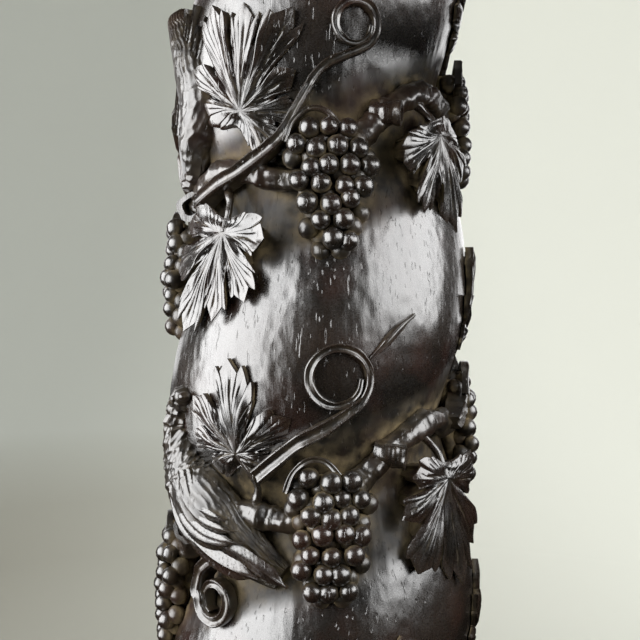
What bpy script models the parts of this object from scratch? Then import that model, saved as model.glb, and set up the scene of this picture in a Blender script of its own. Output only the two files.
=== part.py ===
"""A length of carved wooden column: a twisted shaft, a fruiting vine in its hollow and plain turned ends.

The whole column is one timber, so it is one solid. Its axis is +Z and its underside is at z = 0.
Places on the shaft are given as a turn angle in degrees and a height. Angle 0 faces -Y, positive angles go
towards +X, and a place along the vine is an angle that keeps counting as the hollow climbs.
"""

import math

import bmesh
import bpy
from mathutils import Vector

# The timber
HEIGHT = 0.63
END_HEIGHT = 0.045
TURN_HEIGHT = 0.205
RIDGE_RADIUS = 0.100
HOLLOW_DEPTH = 0.021
HOLLOW_ROUNDNESS = 1.1
DIMINISH = 0.139
HOLLOW_RISE_AT_FRONT = 0.0903
FADE_LENGTH = 0.045
SIDES_ROUND = 22
SHAFT_RINGS = 20

# The turned ends: the foot below and the neck above
FOOT_PROJECTION = 0.0062
FOOT_BAND = 0.012
NECK_PROJECTION = 0.0050
NECK_BAND = 0.010
ROLL_SWELL = 0.004
ROLL_STEPS = 2
END_QUIRK = 0.003

# Depth that carving is carried into the timber, to be one piece with it, and bare wood left at each end
ROOT = 0.004
END_GAP = 0.005

# The vine stem
STEM_RADIUS = 0.0062
STEM_SINK = 0.001
STEM_SIDES = 5
STEM_STEP = 18.0
STEM_WAVE = 0.013
STEM_OFFSET = 0.012
STEM_WAVE_PHASE = 19.5
STEM_END_GAP = 0.028

# Bunches of grapes
GRAPE_SPACING = 0.0158
BUNCH_LENGTH = 0.080
BUNCH_WIDTH = 0.058
BUNCH_STEP = 90.0
BUNCH_PLACE = 4.0
BUNCH_TOP_OFFSET = 0.024
BUNCH_PROUD = 0.0025
GRAPE_RISE = 0.0055

# Vine leaves
LEAF_RELIEF = 0.0080
LEAF_EDGE_DROP = 0.0035
HANG_PROUD = 0.0055
HANG_TIP_PROUD = 0.0045
FLAT_UNDERCUT = 0.93
HANG_UNDERCUT = 0.72

# Tendrils
TENDRIL_WIDTH = 0.0042
TENDRIL_RELIEF = 0.0042
TENDRIL_STEP_DEGREES = 45.0

# Places along the vine, in degrees, and the height of each above or below the middle of the hollow
LEAF_PLACE = -30.0
LEAF_STEP = 120.0
LEAF_OFFSET = 0.052
LEAF_LENGTH = 0.060
LEAF_HEADINGS = (14.0, -8.0)
FOOT_LEAF_PLACE = -690.0
FOOT_LEAF_HEIGHT = 0.033
HANGING_PLACE = 45.0
HANGING_STEP = 90.0
HANGING_OFFSET = -0.004
HANGING_LENGTH = 0.064
HANGING_HEADINGS = (153.0, 188.0, 190.0, 176.0, 200.0, 165.0, 210.0)
HANGING_SHIFTS = (0.0, -5.0, 4.0, 0.0, 6.0, -4.0, 12.0)
TENDRIL_PLACE = 13.0
TENDRIL_STEP = 122.2
TENDRIL_OFFSET = 0.0765
TENDRIL_RADII = (0.0145, 0.0170, 0.0205, 0.0160, 0.0190)
TENDRIL_STEM = ((-0.058, -0.052), (-0.036, -0.045), (-0.012, -0.036))
TENDRIL_START = -70.0
TENDRIL_TURN = 430.0
TENDRIL_CLOSING = 0.30
PERCHED_PLACES = (-405.0, 135.0)
PERCHED_OFFSET = 0.031
PECKING_PLACES = (-61.0, -240.0)
PECKING_OFFSET = 0.092
PECKING_TURN = 162.0
BIRD_PROUD = 0.008

# A vine leaf's outline from the stalk joint: degrees from its middle vein, and reach as a share of its length
HALF_LEAF = (
    (13.0, 0.85), (27.0, 0.54), (50.0, 0.92), (78.0, 0.50),
    (102.0, 0.70), (128.0, 0.60), (154.0, 0.24),
)

# A bird from beak to tail, as shares of its length: across, up, half width, half depth and lift off the wood
BIRD_LENGTH = 0.150
BIRD_STATIONS = (
    (-0.067, 0.413, 0.010, 0.020, 0.027),
    (-0.153, 0.400, 0.057, 0.060, 0.033),
    (-0.213, 0.253, 0.067, 0.067, 0.033),
    (-0.153, 0.067, 0.140, 0.100, 0.040),
    (0.013, -0.080, 0.160, 0.107, 0.060),
    (0.207, -0.200, 0.100, 0.073, 0.053),
    (0.373, -0.287, 0.057, 0.040, 0.020),
)
BIRD_SIDES = 6

WOOD_COLOUR = (0.035, 0.022, 0.016, 1.0)
WOOD_ROUGHNESS = 0.38


def ridge_radius(z):
    """Radius of the shaft on its ridge, which diminishes evenly from foot to neck."""
    return RIDGE_RADIUS * (1.0 + DIMINISH * (0.5 - z / HEIGHT))


def hollow_height(place):
    """Height of the middle of the hollow at a place along the vine."""
    return HEIGHT / 2 + HOLLOW_RISE_AT_FRONT + TURN_HEIGHT * place / 360.0


def shaft_radius(angle, z):
    """Radius of the bare timber: a narrow rounded hollow and a broad ridge, fading out at the ends."""
    wave = math.sin(math.pi * (z - hollow_height(angle)) / TURN_HEIGHT) ** 2
    ridge = (1.0 + HOLLOW_ROUNDNESS) * wave / (wave + HOLLOW_ROUNDNESS)
    to_end = min(z - END_HEIGHT, HEIGHT - END_HEIGHT - z)
    fade = min(max(to_end / FADE_LENGTH, 0.0), 1.0)
    fade = fade * fade * (3.0 - 2.0 * fade)
    return ridge_radius(z) - HOLLOW_DEPTH * fade * (1.0 - ridge)


def at(angle, z, radius):
    """The point at a turn angle in degrees, a height and a radius."""
    turn = math.radians(angle)
    return Vector((radius * math.sin(turn), -radius * math.cos(turn), z))


def across_to_angle(across, z):
    """Degrees round the shaft for a distance measured across its ridge."""
    return math.degrees(across / ridge_radius(z))


def place_at(z):
    """Place along the vine where the middle of the hollow is at a height."""
    return (z - hollow_height(0.0)) * 360.0 / TURN_HEIGHT


def places(first, step, offset, below, above):
    """Numbered places at even steps for carving that reaches below and above its middle, between the ends."""
    low = place_at(END_HEIGHT + END_GAP - offset + below)
    high = place_at(HEIGHT - END_HEIGHT - END_GAP - offset - above)
    numbers = range(math.ceil((low - first) / step), math.floor((high - first) / step) + 1)
    return [(number, first + step * number) for number in numbers]


def object_from(mesh_data, name):
    """A named object holding a finished bmesh."""
    bmesh.ops.recalc_face_normals(mesh_data, faces=mesh_data.faces)
    mesh = bpy.data.meshes.new(name)
    mesh_data.to_mesh(mesh)
    mesh_data.free()
    made = bpy.data.objects.new(name, mesh)
    bpy.context.scene.collection.objects.link(made)
    return made


def rings_to_solid(rings, name):
    """A closed solid through rings of points, with a flat face on the first ring and on the last."""
    made = bmesh.new()
    loops = [[made.verts.new(point) for point in ring] for ring in rings]
    count = len(loops[0])
    for lower, upper in zip(loops, loops[1:]):
        for i in range(count):
            j = (i + 1) % count
            made.faces.new((lower[i], lower[j], upper[j]))
            made.faces.new((lower[i], upper[j], upper[i]))
    made.faces.new(loops[0])
    made.faces.new(loops[-1])
    return object_from(made, name)


def end_profile(projection, band, joint_radius):
    """Heights and radii of a turned end from its flat face inwards: band, quirk and a roll to the shaft."""
    outer = joint_radius + projection
    points = [(0.0, outer), (band, outer), (band, outer - END_QUIRK)]
    roll_height = END_HEIGHT - band
    for i in range(1, ROLL_STEPS + 1):
        share = i / (ROLL_STEPS + 1)
        radius = outer + (joint_radius - outer) * share + ROLL_SWELL * math.sin(math.pi * share)
        points.append((band + roll_height * share, radius))
    return points


def make_timber():
    """The bare twisted shaft with its turned foot and neck, as one closed solid."""
    angles = [360.0 * i / SIDES_ROUND for i in range(SIDES_ROUND)]
    foot = end_profile(FOOT_PROJECTION, FOOT_BAND, ridge_radius(END_HEIGHT))
    neck = end_profile(NECK_PROJECTION, NECK_BAND, ridge_radius(HEIGHT - END_HEIGHT))
    rings = [[at(a, z, r) for a in angles] for z, r in foot]
    shaft_height = HEIGHT - 2 * END_HEIGHT
    for row in range(SHAFT_RINGS + 1):
        z = END_HEIGHT + shaft_height * row / SHAFT_RINGS
        rings.append([at(a, z, shaft_radius(a, z)) for a in angles])
    rings += [[at(a, HEIGHT - z, r) for a in angles] for z, r in reversed(neck)]
    return rings_to_solid(rings, "carved_column")


def sweep(stations, sides, name):
    """A solid swept through stations, each an angle, a height, a radius, a half width and a half depth."""
    centres = [at(a, z, r) for a, z, r, _, _ in stations]
    rings = []
    for i, (angle, _, _, half_width, half_depth) in enumerate(stations):
        along = (centres[min(i + 1, len(centres) - 1)] - centres[max(i - 1, 0)]).normalized()
        outward = at(angle, 0.0, 1.0)
        side = along.cross(outward).normalized()
        outward = side.cross(along)
        ring = []
        for k in range(sides):
            turn = 2 * math.pi * (k + 0.5) / sides
            offset = side * half_width * math.cos(turn) + outward * half_depth * math.sin(turn)
            ring.append(centres[i] + offset)
        rings.append(ring)
    return rings_to_solid(rings, name)


def stem_height(place):
    """Height of the vine stem, which climbs with the hollow and rises over each leaf stalk."""
    wave = math.sin(math.radians(360.0 / BUNCH_STEP * (place - STEM_WAVE_PHASE)))
    return hollow_height(place) + STEM_OFFSET + STEM_WAVE * wave


def make_stem():
    """The vine stem, wound up the hollow."""
    start = place_at(END_HEIGHT + STEM_END_GAP)
    end = place_at(HEIGHT - END_HEIGHT - STEM_END_GAP)
    count = math.ceil((end - start) / STEM_STEP)
    stations = []
    for i in range(count + 1):
        place = start + (end - start) * i / count
        z = stem_height(place)
        radius = shaft_radius(place, z) + STEM_RADIUS - STEM_SINK
        stations.append((place, z, radius, STEM_RADIUS, STEM_RADIUS))
    return sweep(stations, STEM_SIDES, "stem")


def bunch_half_width(share):
    """Half width of a bunch, from its shoulders at share 0 to its tip at share 1."""
    return BUNCH_WIDTH / 2 * math.sqrt(max(1.0 - share ** 2.2, 0.0)) * (1.0 - 0.25 * (1.0 - share) ** 6)


def bunch_radius(angle, z, reach, rise):
    """Radius of a bunch's face: a dome over the ridge line, at least half a grape over the timber."""
    dome = ridge_radius(z) + BUNCH_PROUD * (1.0 - 1.5 * reach * reach)
    return max(dome, shaft_radius(angle, z) + GRAPE_SPACING / 2) + rise


def make_bunch(place, number):
    """A bunch of grapes: a low cone for each grape, close packed, with its edge carried into the timber."""
    top = hollow_height(place) + BUNCH_TOP_OFFSET
    rows = round(BUNCH_LENGTH / (GRAPE_SPACING * math.sqrt(3) / 2))
    row_height = BUNCH_LENGTH / rows
    made = bmesh.new()

    def vertex(across, down, rise):
        reach = min(math.hypot(2 * across / BUNCH_WIDTH, 2 * down / BUNCH_LENGTH - 1.0), 1.2)
        z = top - down
        angle = place + across_to_angle(across, z)
        return made.verts.new(at(angle, z, bunch_radius(angle, z, reach, rise)))

    for row in range(rows):
        down = row_height * (row + 0.5)
        half = bunch_half_width((row + 0.5) / rows)
        shift = GRAPE_SPACING / 2 * (row % 2)
        columns = int((half + GRAPE_SPACING / 2) / GRAPE_SPACING) + 1
        for column in range(-columns, columns + 1):
            across = column * GRAPE_SPACING + shift
            if abs(across) > half:
                continue
            apex = vertex(across, down, GRAPE_RISE)
            ring = []
            for k in range(6):
                turn = math.radians(60.0 * k + 30.0)
                side = GRAPE_SPACING / math.sqrt(3) * math.cos(turn)
                ring.append(vertex(across + side, down + row_height * 2 / 3 * math.sin(turn), 0.0))
            for k in range(6):
                made.faces.new((apex, ring[k], ring[(k + 1) % 6]))
    bmesh.ops.remove_doubles(made, verts=made.verts, dist=GRAPE_SPACING / 10)
    close_into_timber(made, HANG_UNDERCUT)
    return object_from(made, f"bunch_{number}")


def close_into_timber(made, undercut):
    """Carries a relief's open edge into the timber, drawn in towards its middle, and closes it there."""
    rim = [edge for edge in made.edges if edge.is_boundary]
    middle = sum((v.co for v in made.verts), Vector()) / len(made.verts)
    grown = bmesh.ops.extrude_edge_only(made, edges=rim)["geom"]
    for vert in (item for item in grown if isinstance(item, bmesh.types.BMVert)):
        point = middle + (vert.co - middle) * undercut
        angle = math.degrees(math.atan2(point.x, -point.y))
        vert.co = at(angle, point.z, shaft_radius(angle, point.z) - ROOT)
    bmesh.ops.holes_fill(made, edges=[edge for edge in made.edges if edge.is_boundary], sides=0)
    bmesh.ops.triangulate(made, faces=made.faces)


def leaf_outline(length):
    """Points round a vine leaf, as distances to the right of its middle vein and along it."""
    right = [(math.radians(turn), reach * length) for turn, reach in HALF_LEAF]
    left = [(-turn, reach) for turn, reach in reversed(right)]
    polar = [(0.0, length), *right, *left]
    return [(reach * math.sin(turn), reach * math.cos(turn)) for turn, reach in polar]


def make_leaf(angle, z, heading, length, proud, undercut, name):
    """A leaf on the shaft. proud(angle, z, share) gives its face's radius, share being 0 at its joint."""
    made = bmesh.new()
    turn = math.radians(heading)

    def vertex(side, along, share):
        across = side * math.cos(turn) + along * math.sin(turn)
        up = along * math.cos(turn) - side * math.sin(turn)
        place = angle + across_to_angle(across, z)
        return made.verts.new(at(place, z + up, proud(place, z + up, share)))

    outline = leaf_outline(length)
    joint = vertex(0.0, 0.0, 0.0)
    inner = [vertex(s * 0.5, t * 0.5, 0.5) for s, t in outline]
    outer = [vertex(s, t, 1.0) for s, t in outline]
    for i in range(len(outline)):
        j = (i + 1) % len(outline)
        made.faces.new((joint, inner[i], inner[j]))
        made.faces.new((inner[i], outer[i], outer[j], inner[j]))
    close_into_timber(made, undercut)
    return object_from(made, name)


def flat_leaf_radius(angle, z, share):
    """Face of a leaf that lies on the ridge."""
    return shaft_radius(angle, z) + LEAF_RELIEF - LEAF_EDGE_DROP * share


def hanging_leaf_radius(angle, z, share):
    """Face of a leaf that hangs over the hollow from its stalk and comes down on the ridge below."""
    hanging = ridge_radius(z) + HANG_PROUD + (HANG_TIP_PROUD - HANG_PROUD) * share
    return max(hanging, shaft_radius(angle, z) + LEAF_RELIEF)


def make_ridge_leaves():
    """The broad leaves that lie on the ridge, with one more just above the foot."""
    spots = []
    for number, place in places(LEAF_PLACE, LEAF_STEP, LEAF_OFFSET, LEAF_LENGTH / 2, LEAF_LENGTH):
        heading = LEAF_HEADINGS[number % len(LEAF_HEADINGS)]
        spots.append((place, hollow_height(place) + LEAF_OFFSET, heading))
    spots.append((FOOT_LEAF_PLACE, END_HEIGHT + FOOT_LEAF_HEIGHT, LEAF_HEADINGS[-1]))
    made = []
    for place, z, heading in spots:
        name = f"ridge_leaf_{len(made)}"
        made.append(make_leaf(place, z, heading, LEAF_LENGTH, flat_leaf_radius, FLAT_UNDERCUT, name))
    return made


def make_hanging_leaves():
    """The leaves that hang over the hollow, one between each two bunches but where a bird perches."""
    made = []
    for number, place in places(HANGING_PLACE, HANGING_STEP, HANGING_OFFSET, HANGING_LENGTH, 0.0):
        if any(abs(place - perch) < HANGING_STEP / 2 for perch in PERCHED_PLACES):
            continue
        place += HANGING_SHIFTS[number % len(HANGING_SHIFTS)]
        z = hollow_height(place) + HANGING_OFFSET
        heading = HANGING_HEADINGS[number % len(HANGING_HEADINGS)]
        name = f"hanging_leaf_{len(made)}"
        made.append(make_leaf(place, z, heading, HANGING_LENGTH, hanging_leaf_radius, HANG_UNDERCUT, name))
    return made


def make_bunches():
    """The bunches of grapes, at even steps up the hollow."""
    spots = places(BUNCH_PLACE, BUNCH_STEP, BUNCH_TOP_OFFSET, BUNCH_LENGTH, 0.0)
    return [make_bunch(place, number) for number, place in spots]


def make_tendrils():
    """The tendrils, at even steps up the ridge."""
    made = []
    drop = -min(up for _, up in TENDRIL_STEM)
    for number, place in places(TENDRIL_PLACE, TENDRIL_STEP, TENDRIL_OFFSET, drop, max(TENDRIL_RADII)):
        made.append(make_tendril(place, TENDRIL_RADII[number % len(TENDRIL_RADII)], number))
    return made


def make_tendril(place, ring, number):
    """A flat tendril that leaves the stem, climbs the ridge and curls once round into a ring."""
    centre = hollow_height(place) + TENDRIL_OFFSET
    sweep_points = list(TENDRIL_STEM)
    count = int(TENDRIL_TURN / TENDRIL_STEP_DEGREES)
    for i in range(count + 1):
        turn = math.radians(TENDRIL_START + TENDRIL_STEP_DEGREES * i)
        reach = ring * (1.0 - TENDRIL_CLOSING * i / count)
        sweep_points.append((reach * math.cos(turn), reach * math.sin(turn)))
    stations = []
    for across, up in sweep_points:
        z = centre + up
        angle = place + across_to_angle(across, z)
        stations.append((angle, z, shaft_radius(angle, z), TENDRIL_WIDTH / 2, TENDRIL_RELIEF))
    return sweep(stations, 4, f"tendril_{number}")


def make_bird(place, offset, heading, name):
    """A bird over the hollow. At heading 0 its head is up and its tail is down to the right."""
    middle = hollow_height(place) + offset
    turn = math.radians(heading)
    stations = []
    for station in BIRD_STATIONS:
        side, along, half_width, half_depth, lift = (share * BIRD_LENGTH for share in station)
        z = middle + side * math.sin(turn) + along * math.cos(turn)
        across = side * math.cos(turn) - along * math.sin(turn)
        angle = place + across_to_angle(across, z)
        radius = min(shaft_radius(angle, z) + lift, ridge_radius(z) + BIRD_PROUD - half_depth)
        stations.append((angle, z, radius, half_width, half_depth))
    return sweep(stations, BIRD_SIDES, name)


def make_birds():
    """The birds that perch with their heads up, and the birds that hang head down and peck at the grapes."""
    made = [make_bird(p, PERCHED_OFFSET, 0.0, f"perched_bird_{i}") for i, p in enumerate(PERCHED_PLACES)]
    for i, place in enumerate(PECKING_PLACES):
        made.append(make_bird(place, PECKING_OFFSET, PECKING_TURN, f"pecking_bird_{i}"))
    return made


def wood():
    """Dark waxed wood."""
    made = bpy.data.materials.new("dark_waxed_wood")
    made.use_nodes = True
    shader = made.node_tree.nodes["Principled BSDF"]
    shader.inputs["Base Color"].default_value = WOOD_COLOUR
    shader.inputs["Roughness"].default_value = WOOD_ROUGHNESS
    shader.inputs["Metallic"].default_value = 0.0
    return made


def join_carving(timber, carving):
    """Unites the timber with everything carved on it, as one closed skin."""
    group = bpy.data.collections.new("carving")
    bpy.context.scene.collection.children.link(group)
    for piece in carving:
        bpy.context.scene.collection.objects.unlink(piece)
        group.objects.link(piece)
    union = timber.modifiers.new("carving", "BOOLEAN")
    union.operation = "UNION"
    union.operand_type = "COLLECTION"
    union.collection = group
    union.solver = "EXACT"
    united = bpy.data.meshes.new_from_object(timber.evaluated_get(bpy.context.evaluated_depsgraph_get()))
    timber.modifiers.remove(union)
    timber.data = fill_pockets(united)
    for piece in carving:
        bpy.data.objects.remove(piece)
    bpy.data.collections.remove(group)


def fill_pockets(mesh):
    """The mesh without the pockets that carvings close off between them, where the real timber is solid."""
    skin = bmesh.new()
    skin.from_mesh(mesh)
    outer = {max(skin.verts, key=lambda vert: vert.co.x)}
    edge_of_outer = list(outer)
    while edge_of_outer:
        vert = edge_of_outer.pop()
        fresh = {edge.other_vert(vert) for edge in vert.link_edges} - outer
        outer |= fresh
        edge_of_outer += fresh
    bmesh.ops.delete(skin, geom=[vert for vert in skin.verts if vert not in outer], context="VERTS")
    skin.to_mesh(mesh)
    skin.free()
    return mesh


def main():
    """Builds the column."""
    for old in list(bpy.data.objects):
        bpy.data.objects.remove(old)
    timber = make_timber()
    timber.data.materials.append(wood())
    carving = [make_stem(), *make_bunches(), *make_ridge_leaves(), *make_hanging_leaves()]
    carving += [*make_tendrils(), *make_birds()]
    join_carving(timber, carving)


main()
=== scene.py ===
"""The looks of a length of carved wooden column.

A twisted shaft of one dark timber carries a fruiting vine in its spiral hollow: bunches of grapes, leaves,
curling tendrils and birds, between plain turned ends. Every piece is a surface computed with numpy over a
grid of rings, in metres, with the column's axis along +Z and its underside at z = 0.
Places on the shaft are a turn angle in degrees and a height. Angle 0 faces -Y and positive angles go towards
+X. A place along the vine is an angle that keeps counting as the hollow climbs.
"""

import logging
import math
from dataclasses import dataclass, field, replace
from enum import Enum

import bpy
import numpy as np
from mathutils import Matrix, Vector

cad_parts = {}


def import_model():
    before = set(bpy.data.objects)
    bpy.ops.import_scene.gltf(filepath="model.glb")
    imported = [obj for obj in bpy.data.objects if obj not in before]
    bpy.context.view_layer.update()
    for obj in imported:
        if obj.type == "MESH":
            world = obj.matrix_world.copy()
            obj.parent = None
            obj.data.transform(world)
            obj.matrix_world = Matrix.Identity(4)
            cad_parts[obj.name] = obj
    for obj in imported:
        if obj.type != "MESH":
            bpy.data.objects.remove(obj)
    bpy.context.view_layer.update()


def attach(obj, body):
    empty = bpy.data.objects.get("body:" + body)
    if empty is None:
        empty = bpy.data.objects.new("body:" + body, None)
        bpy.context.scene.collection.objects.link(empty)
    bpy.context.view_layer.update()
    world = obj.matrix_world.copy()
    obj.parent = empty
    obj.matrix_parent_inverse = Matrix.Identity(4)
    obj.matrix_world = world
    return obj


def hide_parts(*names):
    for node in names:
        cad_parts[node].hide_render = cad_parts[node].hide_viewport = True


Array = np.ndarray
Patch = tuple[np.ndarray, np.ndarray, np.ndarray]
Knots = tuple[tuple[float, ...], ...]
LOG = logging.getLogger("carved_column")
MM = 0.001
NODE = "carved_column"
BODY = "root"


# Small sums used all over


def smoothstep(share: Array | float) -> Array:
    """An S-curve from 0 to 1, flat at both ends: 3 x^2 - 2 x^3."""
    held = np.clip(share, 0.0, 1.0)
    return held * held * (3.0 - 2.0 * held)


def ramp(value: Array, low: float, high: float) -> Array:
    """The S-curve of how far a value is between low and high."""
    return smoothstep((value - low) / (high - low))


def unit(vectors: Array) -> Array:
    """The same directions at length 1."""
    return vectors / np.linalg.norm(vectors, axis=-1, keepdims=True)


def circle(count: int) -> Array:
    """Even angles round one turn, in radians, as a row."""
    return np.linspace(0.0, 2 * np.pi, count, endpoint=False)[None, :]


def lattice(cell: Array, seed: int) -> Array:
    """Even random values from whole lattice coordinates.

    Each coordinate is multiplied by a large odd number, the products are mixed by xor and shifts, and the low
    bits are read as a share of 1.

    Args:
        cell: whole coordinates, with the axes last.
        seed: which of many unlike patterns.

    Returns:
        One value from 0 to 1 for each cell.
    """
    keys = np.array([374761393, 668265263, 2246822519], np.uint64)[: cell.shape[-1]]
    mixed = (cell.astype(np.int64).astype(np.uint64) * keys).sum(axis=-1) + np.uint64(seed * 3266489917)
    mixed = (mixed ^ (mixed >> np.uint64(13))) * np.uint64(1274126177)
    mixed = mixed ^ (mixed >> np.uint64(16))
    return (mixed & np.uint64(0xFFFF)).astype(float) / 0xFFFF


def noise(points: Array, size: float, seed: int) -> Array:
    """Smooth random relief: lattice values joined by S-curves along each axis.

    Args:
        points: places, with two or three axes last.
        size: distance between lattice points.
        seed: which pattern.

    Returns:
        Values from -1 to 1.
    """
    scaled = points / size
    base = np.floor(scaled)
    share = smoothstep(scaled - base)
    total = np.zeros(points.shape[:-1])
    for corner in np.ndindex(*(2,) * points.shape[-1]):
        weight = np.prod(np.where(np.array(corner) == 1, share, 1.0 - share), axis=-1)
        total += weight * lattice(base + np.array(corner), seed)
    return 2.0 * total - 1.0


def scoops(across: Array, along: Array, width: float, length: float, seed: int) -> Array:
    """Overlapping gouge scoops: the squared distance to the nearest of one jittered centre in each cell.

    Args:
        across: distance across the strokes.
        along: distance along them.
        width: width of a stroke.
        length: length of a stroke.
        seed: which pattern.

    Returns:
        0 in the middle of a scoop, rising to sharp crests of about 0.5 between scoops.
    """
    x, y = np.broadcast_arrays(across / width, along / length)
    column, row = np.floor(x), np.floor(y)
    nearest = np.full(x.shape, 9.0)
    for i in (-1, 0, 1):
        for j in (-1, 0, 1):
            cell = np.stack([column + i, row + j], axis=-1)
            centre_x = column + i + 0.15 + 0.7 * lattice(cell, seed)
            centre_y = row + j + 0.15 + 0.7 * lattice(cell, seed + 1)
            nearest = np.minimum(nearest, (x - centre_x) ** 2 + (y - centre_y) ** 2)
    return nearest


def groove(phase: Array, width: float) -> Array:
    """A V-cut at every whole number of phase: 1 in its middle, 0 from half its width away."""
    distance = np.abs(phase - np.round(phase))
    return np.clip(1.0 - 2.0 * distance / width, 0.0, 1.0)


def blend_path(knots: Array, step: float) -> Array:
    """A smooth path through points, resampled at even steps.

    Between two knots each coordinate is the Catmull-Rom cubic of the four knots round them, and the fine path
    is then read at even distances.

    Args:
        knots: points, one a row.
        step: distance between the path's points.

    Returns:
        Points along the path.
    """
    padded = np.concatenate([2 * knots[:1] - knots[1:2], knots, 2 * knots[-1:] - knots[-2:-1]])
    share = np.linspace(0.0, 1.0, 24, endpoint=False)[None, :, None]
    a, b, c, d = (padded[i : len(padded) - 3 + i, None, :] for i in range(4))
    cubic = 2 * b + (c - a) * share
    cubic = cubic + (2 * a - 5 * b + 4 * c - d) * share**2 + (3 * b - a - 3 * c + d) * share**3
    fine = np.concatenate([0.5 * cubic.reshape(-1, knots.shape[1]), knots[-1:]])
    return even_steps(fine, step)


def distance_along(path: Array) -> Array:
    """How far along a path each of its points is."""
    return np.concatenate([[0.0], np.cumsum(np.linalg.norm(np.diff(path, axis=0), axis=1))])


def even_steps(path: Array, step: float) -> Array:
    """The same path read at even distances of about a step."""
    length = distance_along(path)
    count = max(int(round(length[-1] / step)), 3)
    marks = np.linspace(0.0, length[-1], count + 1)
    return np.stack([np.interp(marks, length, column) for column in path.T], axis=-1)


# Surfaces


def put_in_scene(name: str, data: bpy.types.ID) -> bpy.types.Object:
    """Makes an object of a mesh, a lamp or a camera."""
    made = bpy.data.objects.new(name, data)
    bpy.context.scene.collection.objects.link(made)
    return made


def ring_quads(index: Array) -> Array:
    """Faces between closed rings, from the numbers of the rings' points (rows, columns)."""
    beside = np.roll(index, -1, axis=1)
    return np.stack([index[:-1], beside[:-1], beside[1:], index[1:]], axis=-1).reshape(-1, 4)


@dataclass
class Skin:
    """One piece's surface, gathered from closed patches, each a stack of rings drawn together at both ends."""

    points: list[Array] = field(default_factory=list)
    quads: list[Array] = field(default_factory=list)
    fans: list[Array] = field(default_factory=list)
    dust: list[Array] = field(default_factory=list)
    wear: list[Array] = field(default_factory=list)
    count: int = 0

    def add(self, rings: Array, dust: Array | float = 0.0, wear: Array | float = 0.0) -> None:
        """Adds closed patches. Each patch's faces are turned outwards by the sign of its volume.

        Args:
            rings: points of one patch (rows, columns, 3) or of many (patches, rows, columns, 3).
            dust: share of dust at each point.
            wear: share of polish worn through at each point.
        """
        rings = rings[None] if rings.ndim == 3 else rings
        patches, rows, columns = rings.shape[:3]
        flat = rings.reshape(patches, rows * columns, 3)
        ends = [rings[:, k].mean(axis=1, keepdims=True) for k in (0, -1)]
        points = np.concatenate([ends[0], flat, ends[1]], axis=1)
        index = 1 + np.arange(rows * columns).reshape(rows, columns)
        quads = ring_quads(index)
        low, high = index[0], index[-1]
        first = np.stack([np.zeros_like(low), np.roll(low, -1), low], axis=-1)
        last = np.stack([np.full_like(high, rows * columns + 1), high, np.roll(high, -1)], axis=-1)
        fans = np.concatenate([first, last])
        middle = points.mean(axis=1, keepdims=True)
        a, b, c, d = (points[:, quads[:, k]] - middle for k in range(4))
        volume = np.einsum("pqi,pqi->p", a, np.cross(b, c) + np.cross(c, d))
        offsets = self.count + points.shape[1] * np.arange(patches)
        for faces, kept in ((quads, self.quads), (fans, self.fans)):
            turned = np.where((volume < 0)[:, None, None], faces[None, :, ::-1], faces[None])
            kept.append((turned + offsets[:, None, None]).reshape(-1, faces.shape[1]))
        self.points.append(points.reshape(-1, 3))
        for marks, kept in ((dust, self.dust), (wear, self.wear)):
            full = np.broadcast_to(np.asarray(marks, float), rings.shape[:3])
            poles = [full[:, k].mean(axis=1, keepdims=True) for k in (0, -1)]
            kept.append(np.concatenate([poles[0], full.reshape(patches, -1), poles[1]], axis=1).ravel())
        self.count += patches * points.shape[1]

    def to_object(self, name: str, finish: bpy.types.Material, crease: float) -> None:
        """Makes the piece, which rides on the column's body and stands for the column's node.

        Args:
            name: the piece's name.
            finish: its material.
            crease: degrees between faces past which an edge stays sharp.
        """
        faces = np.concatenate(self.quads).tolist() + np.concatenate(self.fans).tolist()
        mesh = bpy.data.meshes.new(name)
        mesh.from_pydata(np.concatenate(self.points), [], faces)
        for label, values in (("dust", self.dust), ("wear", self.wear)):
            marks = mesh.attributes.new(label, "FLOAT", "POINT")
            marks.data.foreach_set("value", np.concatenate(values).astype(np.float32))
        mesh.shade_smooth()
        mesh.set_sharp_from_angle(angle=math.radians(crease))
        mesh.materials.append(finish)
        made = put_in_scene(name, mesh)
        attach(made, BODY)
        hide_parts(NODE)
        LOG.info("%s: %d triangles", name, sum(len(face) - 2 for face in faces))


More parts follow.
